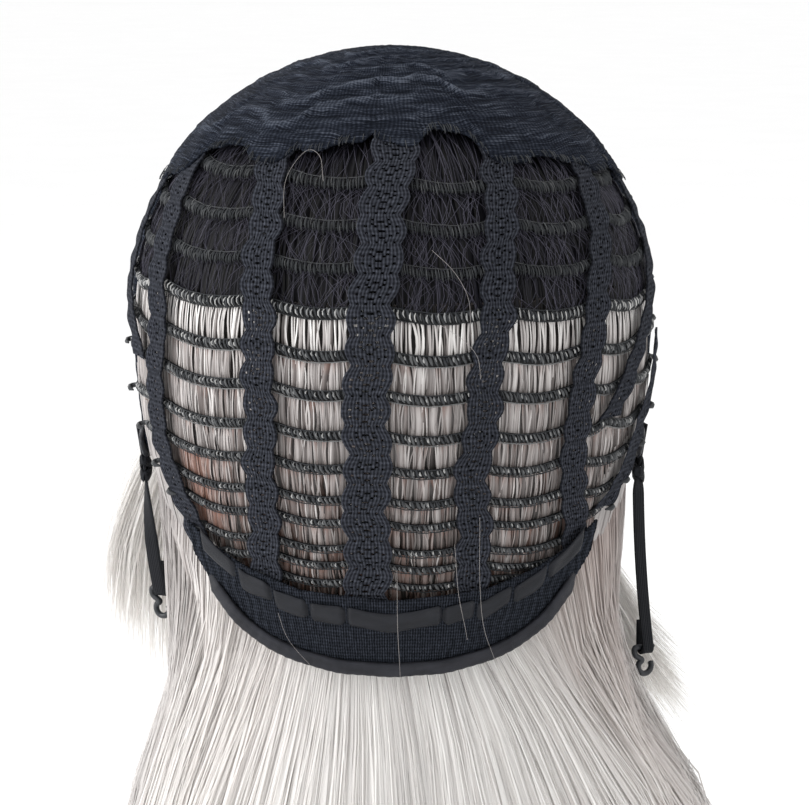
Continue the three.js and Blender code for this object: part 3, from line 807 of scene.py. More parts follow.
def track_tints(number, draw, counts):
    """Tints of a track's rope, light bits and two edge threads."""
    rope, bits = counts
    if number <= DARK_WEFTS:
        return draw.uniform(0.25, 0.42, rope), draw.uniform(0.38, 0.54, bits), (0.5, 0.42)
    if number == DARK_WEFTS + 1:
        return draw.uniform(0.3, 0.5, rope), np.clip(draw.normal(0.78, 0.08, bits), 0, 1), (0.45, 0.3)
    light = np.where(draw.random(bits) < 0.65, draw.uniform(0.6, 0.85, bits), draw.uniform(0.4, 0.5, bits))
    return draw.uniform(0.42, 0.56, rope), light, (0.46, 0.64 if number < 8 else 0.45)


def weft_track(number, weft):
    draw = np.random.default_rng(100 + number)
    dark = number <= DARK_WEFTS
    bar_path, bar_up = track_line(weft, 0.0, TRACK_MIDDLE - 0.1)
    fade = np.ones(bar_path.shape[:2])
    fade[:, [0, -1]] = 0.2
    thin = 0.45 if dark else 1.0
    bar = tubes(bar_path, bar_up, thin * weft.height / 2 * fade, 0.75 * fade, BAR_SIDES)
    rope, rope_count = track_strokes(weft, TRACK_SPACING, 0.5 if dark else 1.5, draw)
    if dark:
        bits, bit_count = track_strokes(weft, 0.95, 0.4, draw, tall=0.95, wide=0.14, bow=0.15, ragged=0.25)
    elif number == DARK_WEFTS + 1:
        bits, bit_count = track_strokes(weft, 1.75, 0.3, draw, tall=0.85, wide=0.17, bow=0.45)
    else:
        bits, bit_count = track_strokes(weft, 1.8, 0.5, draw, tall=0.5, rise=0.14, wide=0.15, bow=0.3)
    threads = []
    for spread in (-0.5, 0.1 if dark else 0.5):
        line, up = track_line(weft, spread * weft.height, TRACK_MIDDLE + 0.75)
        line = line + draw.normal(0, 0.07, line.shape)
        threads.append(tubes(line, up, 0.14 if dark else 0.2, 0.16, THREAD_SIDES))
    rope_tint, bit_tint, thread_tints = track_tints(number, draw, (rope_count, bit_count))
    stroke = STROKE_STEPS * STROKE_SIDES
    parts = [(bar, BAR_TINT), (rope, np.repeat(rope_tint, stroke)), (bits, np.repeat(bit_tint, stroke))]
    parts += [*zip(threads, thread_tints), (track_ends(weft), LOOP_TINT)]
    return gathered([unmapped(*part) for part in parts])


# Hair in the windows between the tracks

WINDOW_STEPS = 6
MAP_START = 300

# Layers of hair: spacing, width, offset, columns of each strand, and how much darker it is: painted shade
# on the deeper back layer
Row = namedtuple("Row", "spacing width offset columns darker")
FIRST_ROW = (Row(1.6, 1.0, -3.1, 3, 0.32), Row(1.1, 0.72, -2.6, 3, 0.0))
LATER_ROWS = (Row(1.9, 2.3, -3.0, 5, 0.15), Row(0.85, 0.62, -2.55, 3, 0.0))
DARK_ROW = Row(1.2, 1.0, -2.8, 4, 0.0)
DARK_STRAYS = 420
DARK_STRAY_RADIUS = 0.075
FIRST_TINT = 0.84
LATER_TINT = 0.665
LOWEST_SHADE = 0.4
# Rows and angle of a brown patch: brownish hair, with painted shade where the opening between the wefts is
# in shadow
BROWN_SHADE_ROWS = (7, 8, 9)
BROWN_SHADE_ANGLE = -50
EDGE_COLUMNS = 4
FRONT_HAIR_START = 120
FRONT_HAIR_COUNT = 220
NOTCH_START = 57
NOTCH_END = 98
NOTCH_HAIR_COUNT = 130
LINING_COLUMNS = 180
DARK_LINING_ROWS = 30
DARK_LINING_TINT = 0.2
SILVER_LINING_ROWS = 60


def row_level(number, angle):
    """Depth of a track by its number, with the band's top edge after the last and the net's before."""
    if number < 0:
        return net_edge(angle) - 5
    if number >= len(WEFTS):
        return read(BAND_TOP, "depth", angle) + 3
    return weft_depth(WEFTS[number], angle)


def window_paths(number, angle, draw, stray):
    """Paths of strands from one track to just under the next."""
    top = row_level(number, angle)
    low = row_level(number + 1, angle) + 1.5
    share = np.linspace(0, 1, WINDOW_STEPS)
    depth = top[:, None] + 0.4 + (low - top)[:, None] * share
    size = (len(angle), 1)
    lean = draw.normal(0, 0.45 * stray, size) * share
    bow = draw.normal(0, 0.25 * stray, size) * np.sin(np.pi * share)
    at = angle[:, None] + 2 * as_angle(lean + bow)
    return at, depth, share


def window_bundles(number, row, draw):
    end = WEFTS[max(number, 0)].end
    angle = even_angles(lambda at: row_level(number, at), -end, end, row.spacing)
    angle = angle + as_angle(draw.normal(0, 0.22 * row.spacing, len(angle)))
    size = (len(angle), 1)
    at, depth, share = window_paths(number, angle, draw, 1.0)
    offset = row.offset + 0.35 * np.sin(np.pi * share) + draw.normal(0, 0.1, size)
    wide = row.width * draw.uniform(0.55, 1.35, size) * (0.75 + 0.35 * share)
    strands = laid(at, depth, offset)
    mesh, uv = bundles(*strands, wide, 0.28, row.columns, depth + MAP_START, draw, ridges=(0.6, 1.25))
    return mesh, uv, share, angle


def tinted(base, jitter, count, columns, draw, shade=0.0):
    """A tint for each point of a set of strands, even along each column, with painted shade at the sides.
    """
    lock = base + draw.normal(0, jitter, (count, 1, 1)) + draw.normal(0, 0.5 * jitter, (count, 1, columns))
    lock = lock - shade * np.linspace(-1, 1, columns) ** 2
    return np.broadcast_to(lock, (count, WINDOW_STEPS, columns))


def silver_windows():
    """Light hair under the silver tracks: loose bundles below the first, denser below the others."""
    draw = np.random.default_rng(41)
    sets = []
    for number in range(DARK_WEFTS, len(WEFTS)):
        first = number == DARK_WEFTS
        lower = (number - DARK_WEFTS) / (len(WEFTS) - DARK_WEFTS - 1)
        for row in FIRST_ROW if first else LATER_ROWS:
            mesh, uv, share, angle = window_bundles(number, row, draw)
            count = len(angle)
            # The back layer's darker tint is painted shade.
            base = (FIRST_TINT if first else LATER_TINT - LOWEST_SHADE * lower) - row.darker
            # Painted shade at each bundle's sides and towards its low end, under the next track.
            tint = tinted(base, 0.11, count, row.columns, draw, 0.12) - 0.25 * share[:, None] ** 2
            stain = np.clip(draw.normal(0.05 + 0.3 * lower, 0.3, (count, 1, 1)), 0, 0.65)
            root = np.clip(1.2 - 3.5 * share, 0, 1)[:, None]
            warm = stain * (0 if first else root + 0.4 * lower)
            # A brown patch in lower rows at the left: the hair's own brownish colour there, and painted
            # shade of the opening between the wefts.
            if number in BROWN_SHADE_ROWS:
                warm = warm + 0.55 * bell(angle, BROWN_SHADE_ANGLE, 7)[:, None, None]
            sets.append((mesh, uv, tint, np.broadcast_to(warm, tint.shape)))
    return gathered(sets)


def dark_windows():
    """Dark hair under the net's edge and the dark tracks, with fine stray strands over it."""
    draw = np.random.default_rng(43)
    sets = []
    for number in range(-1, DARK_WEFTS):
        mesh, uv, share, angle = window_bundles(number, DARK_ROW, draw)
        # Painted shade at each bundle's sides, and darker towards the low end of each window, under the
        # next track.
        tint = tinted(0.4, 0.2, len(angle), DARK_ROW.columns, draw, 0.3) - 0.35 * share[:, None]
        sets.append((mesh, uv, tint, np.zeros(tint.shape)))
        end = WEFTS[max(number, 0)].end
        angle = draw.uniform(-end, end, DARK_STRAYS)
        at, depth, share = window_paths(number, angle, draw, 8.0)
        paths = cap(at, depth, -2.1 + 1.0 * np.sin(np.pi * share))
        mesh = tubes(paths, cap_normal(at, depth), DARK_STRAY_RADIUS, DARK_STRAY_RADIUS, THREAD_SIDES)
        tint = draw.uniform(0.5, 1.15, DARK_STRAYS)
        sets.append(unmapped(mesh, np.repeat(tint, WINDOW_STEPS * THREAD_SIDES)))
    return gathered(sets)


def edge_hair(angle, top, low, flare, base, draw):
    """Strands from under the cap's edge, over the lining, to the start of the falling hair."""
    size = (len(angle), 1)
    share = np.linspace(0, 1, WINDOW_STEPS)
    depth = top[:, None] + (low - top)[:, None] * share
    at = angle[:, None] + draw.normal(0, 1.2, size) * share
    offset = -2.6 + flare * share**3 + draw.normal(0, 0.4, size)
    wide = draw.uniform(1.4, 3.6, size) * np.clip(1.15 - share**4, 0.1, 1)
    mesh, uv = bundles(*laid(at, depth, offset), wide, 0.12, EDGE_COLUMNS, depth + MAP_START, draw)
    tint = tinted(base, 0.06, len(angle), EDGE_COLUMNS, draw)
    return mesh, uv, tint, np.zeros(tint.shape)


def front_hair():
    """Hair from under the front's tape to the start of the short layer."""
    draw = np.random.default_rng(47)
    angle = np.linspace(FRONT_HAIR_START, 360 - FRONT_HAIR_START, FRONT_HAIR_COUNT)
    angle = angle + draw.normal(0, 0.4, FRONT_HAIR_COUNT)
    low = LINING_LEAST + draw.uniform(4, 22, FRONT_HAIR_COUNT)
    return edge_hair(angle, read(RIM, "depth", angle) - 1, low, 4.5, 0.9, draw)


def notch_hair():
    """Hair that falls over the lining's edge in the ear notches."""
    draw = np.random.default_rng(48)
    angle = np.linspace(NOTCH_START, NOTCH_END, NOTCH_HAIR_COUNT)
    angle = angle + draw.normal(0, 0.3, NOTCH_HAIR_COUNT)
    angle = np.concatenate([-angle, angle])
    low = lining_low(angle) + draw.uniform(6, 26, len(angle))
    # The low tint, 0.56, is painted shade under the cap's edge, meeting the painted shade on the long
    # hair's roots.
    return edge_hair(angle, read(RIM, "depth", angle) - 11, low, -1.2, 0.56, draw)


def lining(top_latitude, low_latitude, rows, tint_at):
    """The hair's backing inside the cap, in shallow ridges."""
    angle = np.linspace(-180, 180, LINING_COLUMNS + 1)[None, :]
    share = np.linspace(0, 1, rows + 1)[:, None]
    top, low = top_latitude(angle), low_latitude(angle)
    latitude = top + (low - top) * share
    ridge = 0.35 * np.cos(np.radians(angle * 60)) + 0.2 * np.cos(np.radians(angle * 23))
    points = at_latitude(angle, latitude, HAIR_TOP - 0.6 + np.broadcast_to(ridge, latitude.shape))
    uv = cloth_map(np.radians(angle) * HALF_WIDTH, latitude * 1.4)
    tint = np.broadcast_to(tint_at(latitude), latitude.shape)
    return (points, grid_faces(rows, LINING_COLUMNS)), uv, tint, np.zeros(latitude.shape)


# Long hair: arched locks and fine strands that leave the lining and fall

LOCK_COUNT = 2350
LOCK_COLUMNS = 3
LOCK_WIDTH = 1.5
LOCK_TINT = 0.94
FINE_COUNT = 9500
HAIR_RUN = 240
HAIR_STRAY = 4.0

# Kinds of strand: the share beside the face, the ranges of layer and length, the mean and spread of
# the reach, the stations along each, how they crowd at the root, and how far a strand sways
Kind = namedtuple("Kind", "beside layer length reach steps crowd sway")
LOCKS = Kind(0.2, (-1, 1), (0.86, 1.0), (1, 0.06), 11, 1.15, 1.6)
FINE = Kind(0.24, (0.1, 1.5), (0.75, 1.02), (0.95, 0.1), 8, 1.1, 1.2)
FACE_LAYER = dict(
    angle=[-150, -140, -114, -104, 104, 114, 140, 150],
    reach=[1, 1.15, 1.15, 1, 1, 1.05, 1.05, 1],
    length=[1, 1.06, 1.06, 1, 1, 1.4, 1.4, 1],
    beside=[0, 1, 1, 0, 0, 1, 1, 0],
    late=[0, 0, 0, 0, 0, 1, 1, 0],
)

# Where the hair gives way to a hook: how fully, by angle, and for each side the hook's depth,
# how far in the hair lies and over what height
HOOK_ROOM = dict(angle=[34, 50, 64, 100, 112, 116], share=[0, 0.7, 1, 1, 0.7, 0])
HOOK_ROOM_LEFT = (98, 6.8, 16)
HOOK_ROOM_RIGHT = (120, 11, 20)


def face_layer(column, angle):
    return np.interp(angle, FACE_LAYER["angle"], FACE_LAYER[column])


def fall_paths(angle, layer, drop_share, reach_share, shares):
    """Paths of falling strands, from inside the lining to their tips."""
    low = lining_low(angle)
    lean = np.radians(np.sign(angle) * read(FALL, "lean", angle))
    towards = np.stack([np.sin(lean), -np.cos(lean), np.zeros_like(lean)], axis=-1)
    drop = ((read(FALL, "tip", angle) - low) * drop_share * face_layer("length", angle))[:, None] * shares
    reach_share = reach_share * face_layer("reach", angle)
    below = low[:, None] + drop
    swing = 1 - (1 - shares) ** FALL_EASE
    swing = swing + face_layer("late", angle)[:, None] * (shares**4 - swing)
    flare = np.clip((below - FLARE_TOP) / (FLARE_LOW - FLARE_TOP), 0, 1)
    flare = read(FALL, "flare", angle)[:, None] * flare**2 * (3 - 2 * flare)
    reach = (read(FALL, "out", angle)[:, None] * swing + flare) * reach_share[:, None]
    sides = np.where((angle < 0)[:, None], HOOK_ROOM_LEFT, HOOK_ROOM_RIGHT)
    middle, inwards, tall = sides.T[..., None]
    room = inwards * bell(below, middle, tall)
    reach = reach - room * read(HOOK_ROOM, "share", angle)[:, None]
    drift = DRIFT * (1 - np.exp(-np.maximum(0, below - DRIFT_TOP) / DRIFT_LENGTH))
    drift = drift * (1 - DRIFT_LEFT_LOSS * np.clip(-np.sin(np.radians(angle)), 0, 1))[:, None]
    start = cap(angle, low - 2, HAIR_MIDDLE - 0.8)
    facing = cap_normal(angle, low - 2)
    facing[:, 2] = 0
    facing = unit(facing)
    volume = layer * (1 + 3 * face_layer("beside", angle))
    spread = volume[:, None] * (0.34 + 0.3 * np.clip(3 * shares, 0, 1))
    paths = start[:, None] + towards[:, None] * reach[..., None] + facing[:, None] * spread[..., None]
    paths[..., 0] += drift
    paths[..., 2] -= drop
    across = np.stack([-facing[:, 1], facing[:, 0], np.zeros(len(angle))], axis=-1)
    inner = cap(angle, low - 13, HAIR_MIDDLE + 0.4 * layer)
    return np.concatenate([inner[:, None], paths], axis=1), across, facing


def waved(count, steps, draw, sway):
    """Sideways swing of each strand down its length, none at its root."""
    turns = steps * draw.uniform(0.4, 1.3, (count, 1))
    wave = draw.normal(0, sway, (count, 1)) * ripple(turns, 1)
    return (wave + draw.normal(0, HAIR_STRAY, (count, 1)) * steps**1.5) * np.clip(4 * steps, 0, 1)


def root_shade(angle, steps):
    """How much darker the hair is where the cap's edge shades it beside the nape."""
    return 0.4 * bell(np.abs(angle), 78, 20, 4)[:, None] * np.exp(-5 * steps)


def root_stain(angle, steps):
    """How warm the hair is: a pinkish patch below the right of the nape."""
    patch = 0.65 * bell(angle, 62, 20) + 0.22 * bell(angle, -45, 20)
    return patch[:, None] * np.exp(-3.5 * steps)


def fall_painted_light(angle):
    """Painted light and shade on the hair round the head: a painted highlight left of the nape, painted
    shade at the middle of the back, and more painted shade at the sides.
    """
    back_light_and_shade = 0.08 * bell(angle, -38, 20) - 0.05 * bell(angle, 0, 18)
    return back_light_and_shade - 0.15 * bell(np.abs(angle), 84, 24, 4)


def hair_angles(count, draw, extra):
    """Angles of strands all round, with an extra share in the layer beside the face."""
    angle = draw.uniform(-180, 180, count)
    beside = draw.uniform(106, 138, count) * np.where(draw.random(count) < 0.5, -1, 1)
    return np.where(draw.random(count) < extra, beside, angle)


def falling(count, kind, draw):
    """Angles of falling strands, their paths, the directions across and out, and shares down them."""
    angle = hair_angles(count, draw, kind.beside)
    layer = draw.uniform(*kind.layer, count)
    length = draw.uniform(*kind.length, count)
    reach = draw.normal(*kind.reach, count)
    shares = np.linspace(0, 1, kind.steps - 1) ** kind.crowd
    paths, across, facing = fall_paths(angle, layer, length, reach, shares)
    steps = np.concatenate([[0], shares])
    paths = paths + across[:, None] * waved(count, steps, draw, kind.sway)[..., None]
    return angle, paths, across, facing, steps


def long_locks(count, draw):
    """Arched locks, which are rolled about their length where they hang loose."""
    angle, paths, across, facing, steps = falling(count, LOCKS, draw)
    beside = face_layer("beside", angle)
    loose = np.maximum(1.5 * beside, 0.25 * np.sin(np.radians(angle)) ** 2)
    roll = (draw.normal(0, 0.1, count) + loose * draw.uniform(-1, 1, count))[:, None]
    sides = np.broadcast_to((across * np.cos(roll) + facing * np.sin(roll))[:, None], paths.shape)
    outs = np.broadcast_to((facing * np.cos(roll) - across * np.sin(roll))[:, None], paths.shape)
    taper = np.clip(np.minimum(0.6 + 2 * steps, 1.03 - steps**6), 0.02, 1)
    wide = LOCK_WIDTH * draw.uniform(0.5, 1.4, (count, 1)) * taper * (1 - 0.41 * loose[:, None])
    along = (steps * HAIR_RUN)[None]
    mesh, uv = bundles(paths, sides, outs, wide, 0.07, LOCK_COLUMNS, along, draw, spread=900)
    tint = LOCK_TINT + draw.normal(0, 0.04, (count, 1, 1)) + draw.normal(0, 0.02, (count, 1, LOCK_COLUMNS))
    # Painted light: the layer beside the face is lightened by 0.08 against the shade it sits in, and the
    # painted light and shade round the head are added.
    lift = 0.08 * beside + fall_painted_light(angle)
    tint = tint + lift[:, None, None] - root_shade(angle, steps)[..., None]
    warm = root_stain(angle, steps) + np.clip(draw.normal(0.02, 0.06, (count, 1)), 0, 1)
    return mesh, uv, tint, np.broadcast_to(warm[..., None], tint.shape)


def fine_strands(count, draw):
    """Flat single strands among the locks."""
    angle, paths, across, facing, steps = falling(count, FINE, draw)
    roll = draw.uniform(-0.6, 0.6, (count, 1, 1))
    sides = unit(across[:, None] * np.cos(roll) + facing[:, None] * np.sin(roll))
    half = 0.5 * draw.uniform(0.2, 0.42, (count, 1)) * np.clip(1.05 - steps**5, 0.1, 1)
    edge = np.stack([paths - sides * half[..., None], paths + sides * half[..., None]], axis=2)
    shadow = np.where(draw.random((count, 1)) < 0.1, 0.5, 0) * np.exp(-9 * steps)
    tint = draw.uniform(0.84, 1.06, (count, 1)) + fall_painted_light(angle)[:, None]
    tint = tint - shadow - root_shade(angle, steps)
    tint = np.broadcast_to(tint[..., None], edge.shape[:3])
    warm = np.broadcast_to(root_stain(angle, steps)[..., None], edge.shape[:3])
    uv = cloth_map(angle[:, None, None] * 40, steps[None, :, None] * HAIR_RUN)
    uv = np.broadcast_to(uv, (*edge.shape[:3], 2))
    return (edge.reshape(-1, 3), strand_faces(count, FINE.steps - 1, 1)), uv, tint, warm


# Nape band, its ribbon, and the tape that binds the rim

BAND_COLUMNS = 360
BAND_ROWS = 22
BAND_WALL = 0.8
RIB = 1.05
RIBBON_COLUMNS = 300
RIBBON_ROWS = 6
RIBBON_WALL = 0.5
TUCK_LENGTH = 1.8

# Section of the folded tape: how far up from the rim's edge, and how far out
BINDING_SECTION = np.array((
    (4.6, 0.0), (2.3, 0.0), (0.3, 0.0), (-0.4, 0.45), (-0.5, 0.95), (0.0, 1.45),
    (0.9, 1.65), (2.3, 1.55), (3.6, 1.5), (4.4, 1.25), (4.7, 0.7),
))
BINDING_TAPER = 9
NAPE_BINDING_END = 50
NAPE_BINDING_STATIONS = 200
FRONT_BINDING_START = 97
FRONT_BINDING_STATIONS = 360
FRONT_BINDING_LIFT = 0.6


def nape_band():
    angle = np.linspace(-BAND_END, BAND_END, BAND_COLUMNS + 1)[None, :]
    share = np.linspace(0, 1, BAND_ROWS + 1)[:, None]
    top = read(BAND_TOP, "depth", angle)
    low = read(RIM, "depth", angle) - RIM_TURN
    depth = top + (low - top) * share
    across = np.radians(angle) * NAPE_RADIUS
    ribs = 0.17 * ripple(across, RIB, 1.2 * np.sin(depth / 1.6))
    slack = 0.25 * np.sin(across / 5.0 + depth / 4) * np.sin(np.pi * share)
    points = cap(np.broadcast_to(angle, depth.shape), depth, NET_TOP - 0.3 + ribs + slack)
    return (points, grid_faces(BAND_ROWS, BAND_COLUMNS)), cloth_map(across, depth)


def nape_ribbon():
    """A flat ribbon that comes out of the band in lengths, each tucked back in at its ends."""
    end = RIBBON["angle"][-1]
    angle = np.linspace(-end, end, RIBBON_COLUMNS + 1)[None, :]
    up = np.linspace(-0.5, 0.5, RIBBON_ROWS + 1)[:, None]
    apart = np.min([np.abs(angle - tuck) for tuck in RIBBON_TUCKS], axis=0)
    wave = np.sin(np.pi / 2 * np.clip(np.radians(apart) * NAPE_RADIUS / TUCK_LENGTH, 0, 1))
    length = np.searchsorted(RIBBON_TUCKS, angle)
    tilt = 0.9 * np.sin(2.4 * length) * np.sin(np.radians(angle) * 14 + length)
    tall = RIBBON_HEIGHT * (0.6 + 0.4 * wave)
    depth = read(RIBBON, "depth", angle) + up * tall + tilt * wave
    belly = 0.12 * (1 - (2 * up) ** 2) + 0.2 * wave * np.sin(4 * up + np.radians(angle) * 31)
    points = cap(np.broadcast_to(angle, depth.shape), depth, NET_TOP - 0.8 + 1.35 * wave + belly)
    uv = cloth_map(np.radians(angle) * NAPE_RADIUS, up * RIBBON_HEIGHT)
    return (points, grid_faces(RIBBON_ROWS, RIBBON_COLUMNS)), uv


def rim_curve(start, end, count):
    """Even stations along the rim between two angles, smoothed, as angles and depths."""
    fine = np.linspace(start, end, RIM_SAMPLES)
    near = np.linspace(-2.5, 2.5, 11)
    depth = read(RIM, "depth", fine[:, None] + near).mean(axis=1)
    along = run_along(cap(fine, depth))
    want = np.linspace(0, along[-1], count)
    return np.interp(want, along, fine), np.interp(want, along, depth), want


def binding(start, end, count, offset):
    """A tape folded over the rim's edge from one angle to another."""
    angle, depth, along = rim_curve(start, end, count)
    edge = cap(angle, depth, offset(angle))
    ahead = unit(np.gradient(edge, axis=0))
    out = cap_normal(angle, depth)
    inward = unit(np.cross(out, ahead))
    pucker = 0.10 * ripple(along, 3.1) + 0.12 * ripple(along, 17, 1)
    taper = np.clip(np.minimum(along, along[-1] - along) / BINDING_TAPER + 0.15, 0.15, 1)[:, None]
    up, through = BINDING_SECTION.T
    rise = up * taper + 1.5 * (1 - taper)
    swell = (through + pucker[:, None] * (through > 0.4)) * taper - 2.2 * (1 - taper)
    points = edge[:, None] + inward[:, None] * rise[..., None] + out[:, None] * swell[..., None]
    uv = cloth_map(along[:, None], run_along(BINDING_SECTION)[None, :])
    return (points, tape_faces(count, len(up))), uv


# Straps and hooks

Strap = namedtuple("Strap", "side sign hang drift width untwist")
STRAPS = (Strap("left", -1, 44, 4, 5.2, 1.6), Strap("right", 1, 64, -4, 4.4, 6))
STRAP_ANGLE = 107
STRAP_WIDTH = 5
STRAP_THICK = 1
STRAP_SEAT = 12
STRAP_TWIST = 75
STRAP_TURN_BACK = 9

# Section of a strap with a cord along each edge, as shares of its half width and half thickness
STRAP_SECTION = np.array([
    (1, 0.3), (0.9, 1), (0.3, 0.85), (-0.3, 0.85), (-0.9, 1), (-1, 0.3),
    (-1, -0.3), (-0.9, -1), (-0.3, -0.85), (0.3, -0.85), (0.9, -1), (1, -0.3),
])

# Turns of a strap's knot: the station on the strap, and how far the turn leans
KNOT_TURNS = ((11, 2.0), (13, -1.7))
KNOT_THICK = 0.6
KNOT_TALL = 1.8
KNOT_SIDES = 8
HOOK_WIRE = 1.0
HOOK_RADIUS = 2.6
HOOK_SHANK = 4
HOOK_GAP = 0.4
HOOK_SWEEP = (60, -215)
HOOK_SIDES = 12
TURN_RADIUS = HOOK_WIRE + HOOK_GAP + STRAP_THICK / 2


def turned_round(vector, degrees):
    turn = np.radians(degrees)
    x, y, z = vector
    return np.array([x * np.cos(turn) - y * np.sin(turn), x * np.sin(turn) + y * np.cos(turn), z])


def strap_route(strap):
    """Centres, width directions and facing directions along a strap, and the place of its hook."""
    angle = float(strap.sign * STRAP_ANGLE)
    rim = float(read(RIM, "depth", angle))
    out = unit(cap_normal(np.array(angle), np.array(rim)) * [1, 1, 0])
    along = np.cross([0, 0, 1], out)
    seat = cap(angle, rim - STRAP_SEAT, STRAP_MIDDLE)
    edge = cap(angle, rim, STRAP_MIDDLE)
    stations = []

    def add(centre, degrees):
        twist = -strap.sign * degrees
        stations.append((centre, turned_round(along, twist), turned_round(out, twist)))

    for share in np.linspace(0, 1, 10, endpoint=False):
        add(seat + (edge - seat) * share, 0)
    for share in np.linspace(0, 1, 40):
        fall = np.array([-strap.sign * strap.drift * share**2, 0, -strap.hang * share])
        add(edge + fall, STRAP_TWIST * min(1, strap.untwist * share))
    end, wide, facing = stations[-1]
    bend = end - facing * TURN_RADIUS
    for turn in np.linspace(0, np.pi, 12)[1:]:
        ray = facing * np.cos(turn) + np.array([0, 0, -np.sin(turn)])
        stations.append((bend + ray * TURN_RADIUS, wide, ray))
    foot = stations[-1][0]
    for rise in np.linspace(0, STRAP_TURN_BACK, 8)[1:]:
        stations.append((foot + np.array([0, 0, rise]), wide, -facing))
    centres, across, through = (np.array(column) for column in zip(*stations))
    return centres, across, through, bend, wide


def strap_mesh(width, centres, across, through):
    half = STRAP_SECTION * [width / 2, STRAP_THICK / 2]
    points = (
        centres[:, None]
        + across[:, None] * half[None, :, :1]
        + through[:, None] * half[None, :, 1:]
    )
    uv = cloth_map(half[None, :, 0], run_along(centres)[:, None])
    return (points, tape_faces(len(centres), len(half))), uv


def knot_mesh(centres, across, through):
    """Two turns of the strap round itself just below the rim."""
    turn = np.linspace(0, 2 * np.pi, 21)
    parts = []
    for station, lean in KNOT_TURNS:
        wide = across[station] * (STRAP_WIDTH / 2 + 0.5)
        thick = through[station] * (STRAP_THICK / 2 + 0.9)
        ring = np.outer(np.cos(turn), wide) + np.outer(np.sin(turn), thick)
        ring[:, 2] += lean * np.cos(turn)
        ups = np.broadcast_to([0.0, 0.0, 1.0], ring.shape)
        parts.append(tubes((centres[station] + ring)[None], ups[None], KNOT_THICK, KNOT_TALL, KNOT_SIDES))
    return joined(*parts)


def smooth_route(route, steps):
    """A Catmull-Rom line through a short list of points."""
    route = np.array(route)
    padded = np.concatenate([2 * route[:1] - route[1:2], route, 2 * route[-1:] - route[-2:-1]])
    share = np.linspace(0, 1, steps, endpoint=False)[None, :, None]
    p0, p1, p2, p3 = (padded[k:len(padded) - 3 + k, None] for k in range(4))
    curve = 0.5 * (
        2 * p1
        + (p2 - p0) * share
        + (2 * p0 - 5 * p1 + 4 * p2 - p3) * share**2
        + (3 * p1 - p0 - 3 * p2 + p3) * share**3
    )
    return np.concatenate([curve.reshape(-1, 3), route[-1:]])


def hook_mesh(bend, across):
    """A bar through the strap's fold, a shank at its end and an open hook below."""
    half = STRAP_WIDTH / 2 + HOOK_WIRE + HOOK_GAP
    down = np.array([0, 0, -1.0])

    def place(side, drop):
        return bend + across * side + down * drop

    route = [place(-half, 0), place(0, 0), place(half, 0), place(half, HOOK_SHANK * 0.6)]
    middle = HOOK_SHANK + HOOK_RADIUS
    for degrees in np.linspace(*HOOK_SWEEP, 9):
        turn = np.radians(degrees)
        route.append(place(HOOK_RADIUS * np.cos(turn), middle - HOOK_RADIUS * np.sin(turn)))
    path = smooth_route(route, 8)[None]
    ups = np.broadcast_to(np.cross(across, down), path.shape)
    size = np.full(path.shape[1], HOOK_WIRE)
    size[[0, -1]] = 0.25
    size[[1, -2]] = 0.7
    return tubes(path, ups, size[None], size[None], HOOK_SIDES)


# Stray hairs over the cap, each a line of angles and depths

STRAYS = (
    ((1, 66), (1.2, 84), (1.8, 98), (2.4, 112)),
    ((18, 50), (19, 70), (21.5, 86), (27, 100)),
    ((13, 58), (14.5, 74), (18, 90)),
    ((-27, 82), (-25, 90), (-21, 99)),
    ((-16, -46), (-18, -52), (-22, -53), (-25, -46), (-23.5, -36)),
    ((9, -8), (13, -4), (16, 1), (17, 8)),
    ((8, -28), (12, -22), (14.5, -15), (15, -8)),
)
STRAY_LIFT = 5
STRAY_RADIUS = 0.055
STRAY_SIDES = 4
STRAY_TINT = 0.55


def stray_hairs():
    draw = np.random.default_rng(61)
    parts = []
    for line in STRAYS:
        angle, depth, _ = smooth_route([(*place, 0) for place in line], 9).T
        lift = STRAY_LIFT + 1.2 * np.sin(np.linspace(0, np.pi, len(angle))) + draw.uniform(0, 0.5)
        ups = cap_normal(angle, depth)[None]
        parts.append(tubes(cap(angle, depth, lift)[None], ups, STRAY_RADIUS, STRAY_RADIUS, STRAY_SIDES))
    return unmapped(joined(*parts), STRAY_TINT)


# Pieces

def lay_out_cap():
    mesh, uv, fold_light_and_shade = crown_net()
    net = piece("crown_net_knit", mesh, net_cloth, "crown_net", ["crown_net"], uv, NET_WALL, fold=fold_light_and_shade)
    strand_piece("net_hem_stitches", hem_stitches(), weft_thread, "crown_net")
    for number, strip in enumerate(STRIPS, 1):
        mesh, uv, length = lace_strip(strip)
        lace = piece(f"lace_{number}", mesh, lace_cloth, "lace", [f"lace_strip_{number}"], uv, LACE_WALL)
    for number, weft in enumerate(WEFTS, 1):
        track = weft_track(number, weft)
        strand_piece(f"weft_{number:02d}", track, weft_thread, "weft_thread", [f"weft_track_{number:02d}"])
    mesh, uv = nape_band()
    band = piece("nape_band_knit", mesh, band_cloth, "nape_band", ["nape_band"], uv, BAND_WALL)
    mesh, uv = nape_ribbon()
    piece("nape_ribbon_satin", mesh, ribbon_satin, "satin", ["nape_ribbon"], uv, RIBBON_WALL)
    end = NAPE_BINDING_END
    mesh, uv = binding(-end, end, NAPE_BINDING_STATIONS, lambda at: np.full(at.shape, NET_TOP))
    piece("nape_tape", mesh, satin, "satin", ["nape_binding"], uv)
    start = FRONT_BINDING_START
    mesh, uv = binding(start, 360 - start, FRONT_BINDING_STATIONS,
                       lambda at: read(FRONT, "offset", at) + FRONT_BINDING_LIFT)
    piece("front_tape", mesh, satin, "satin", ["front_binding"], uv)


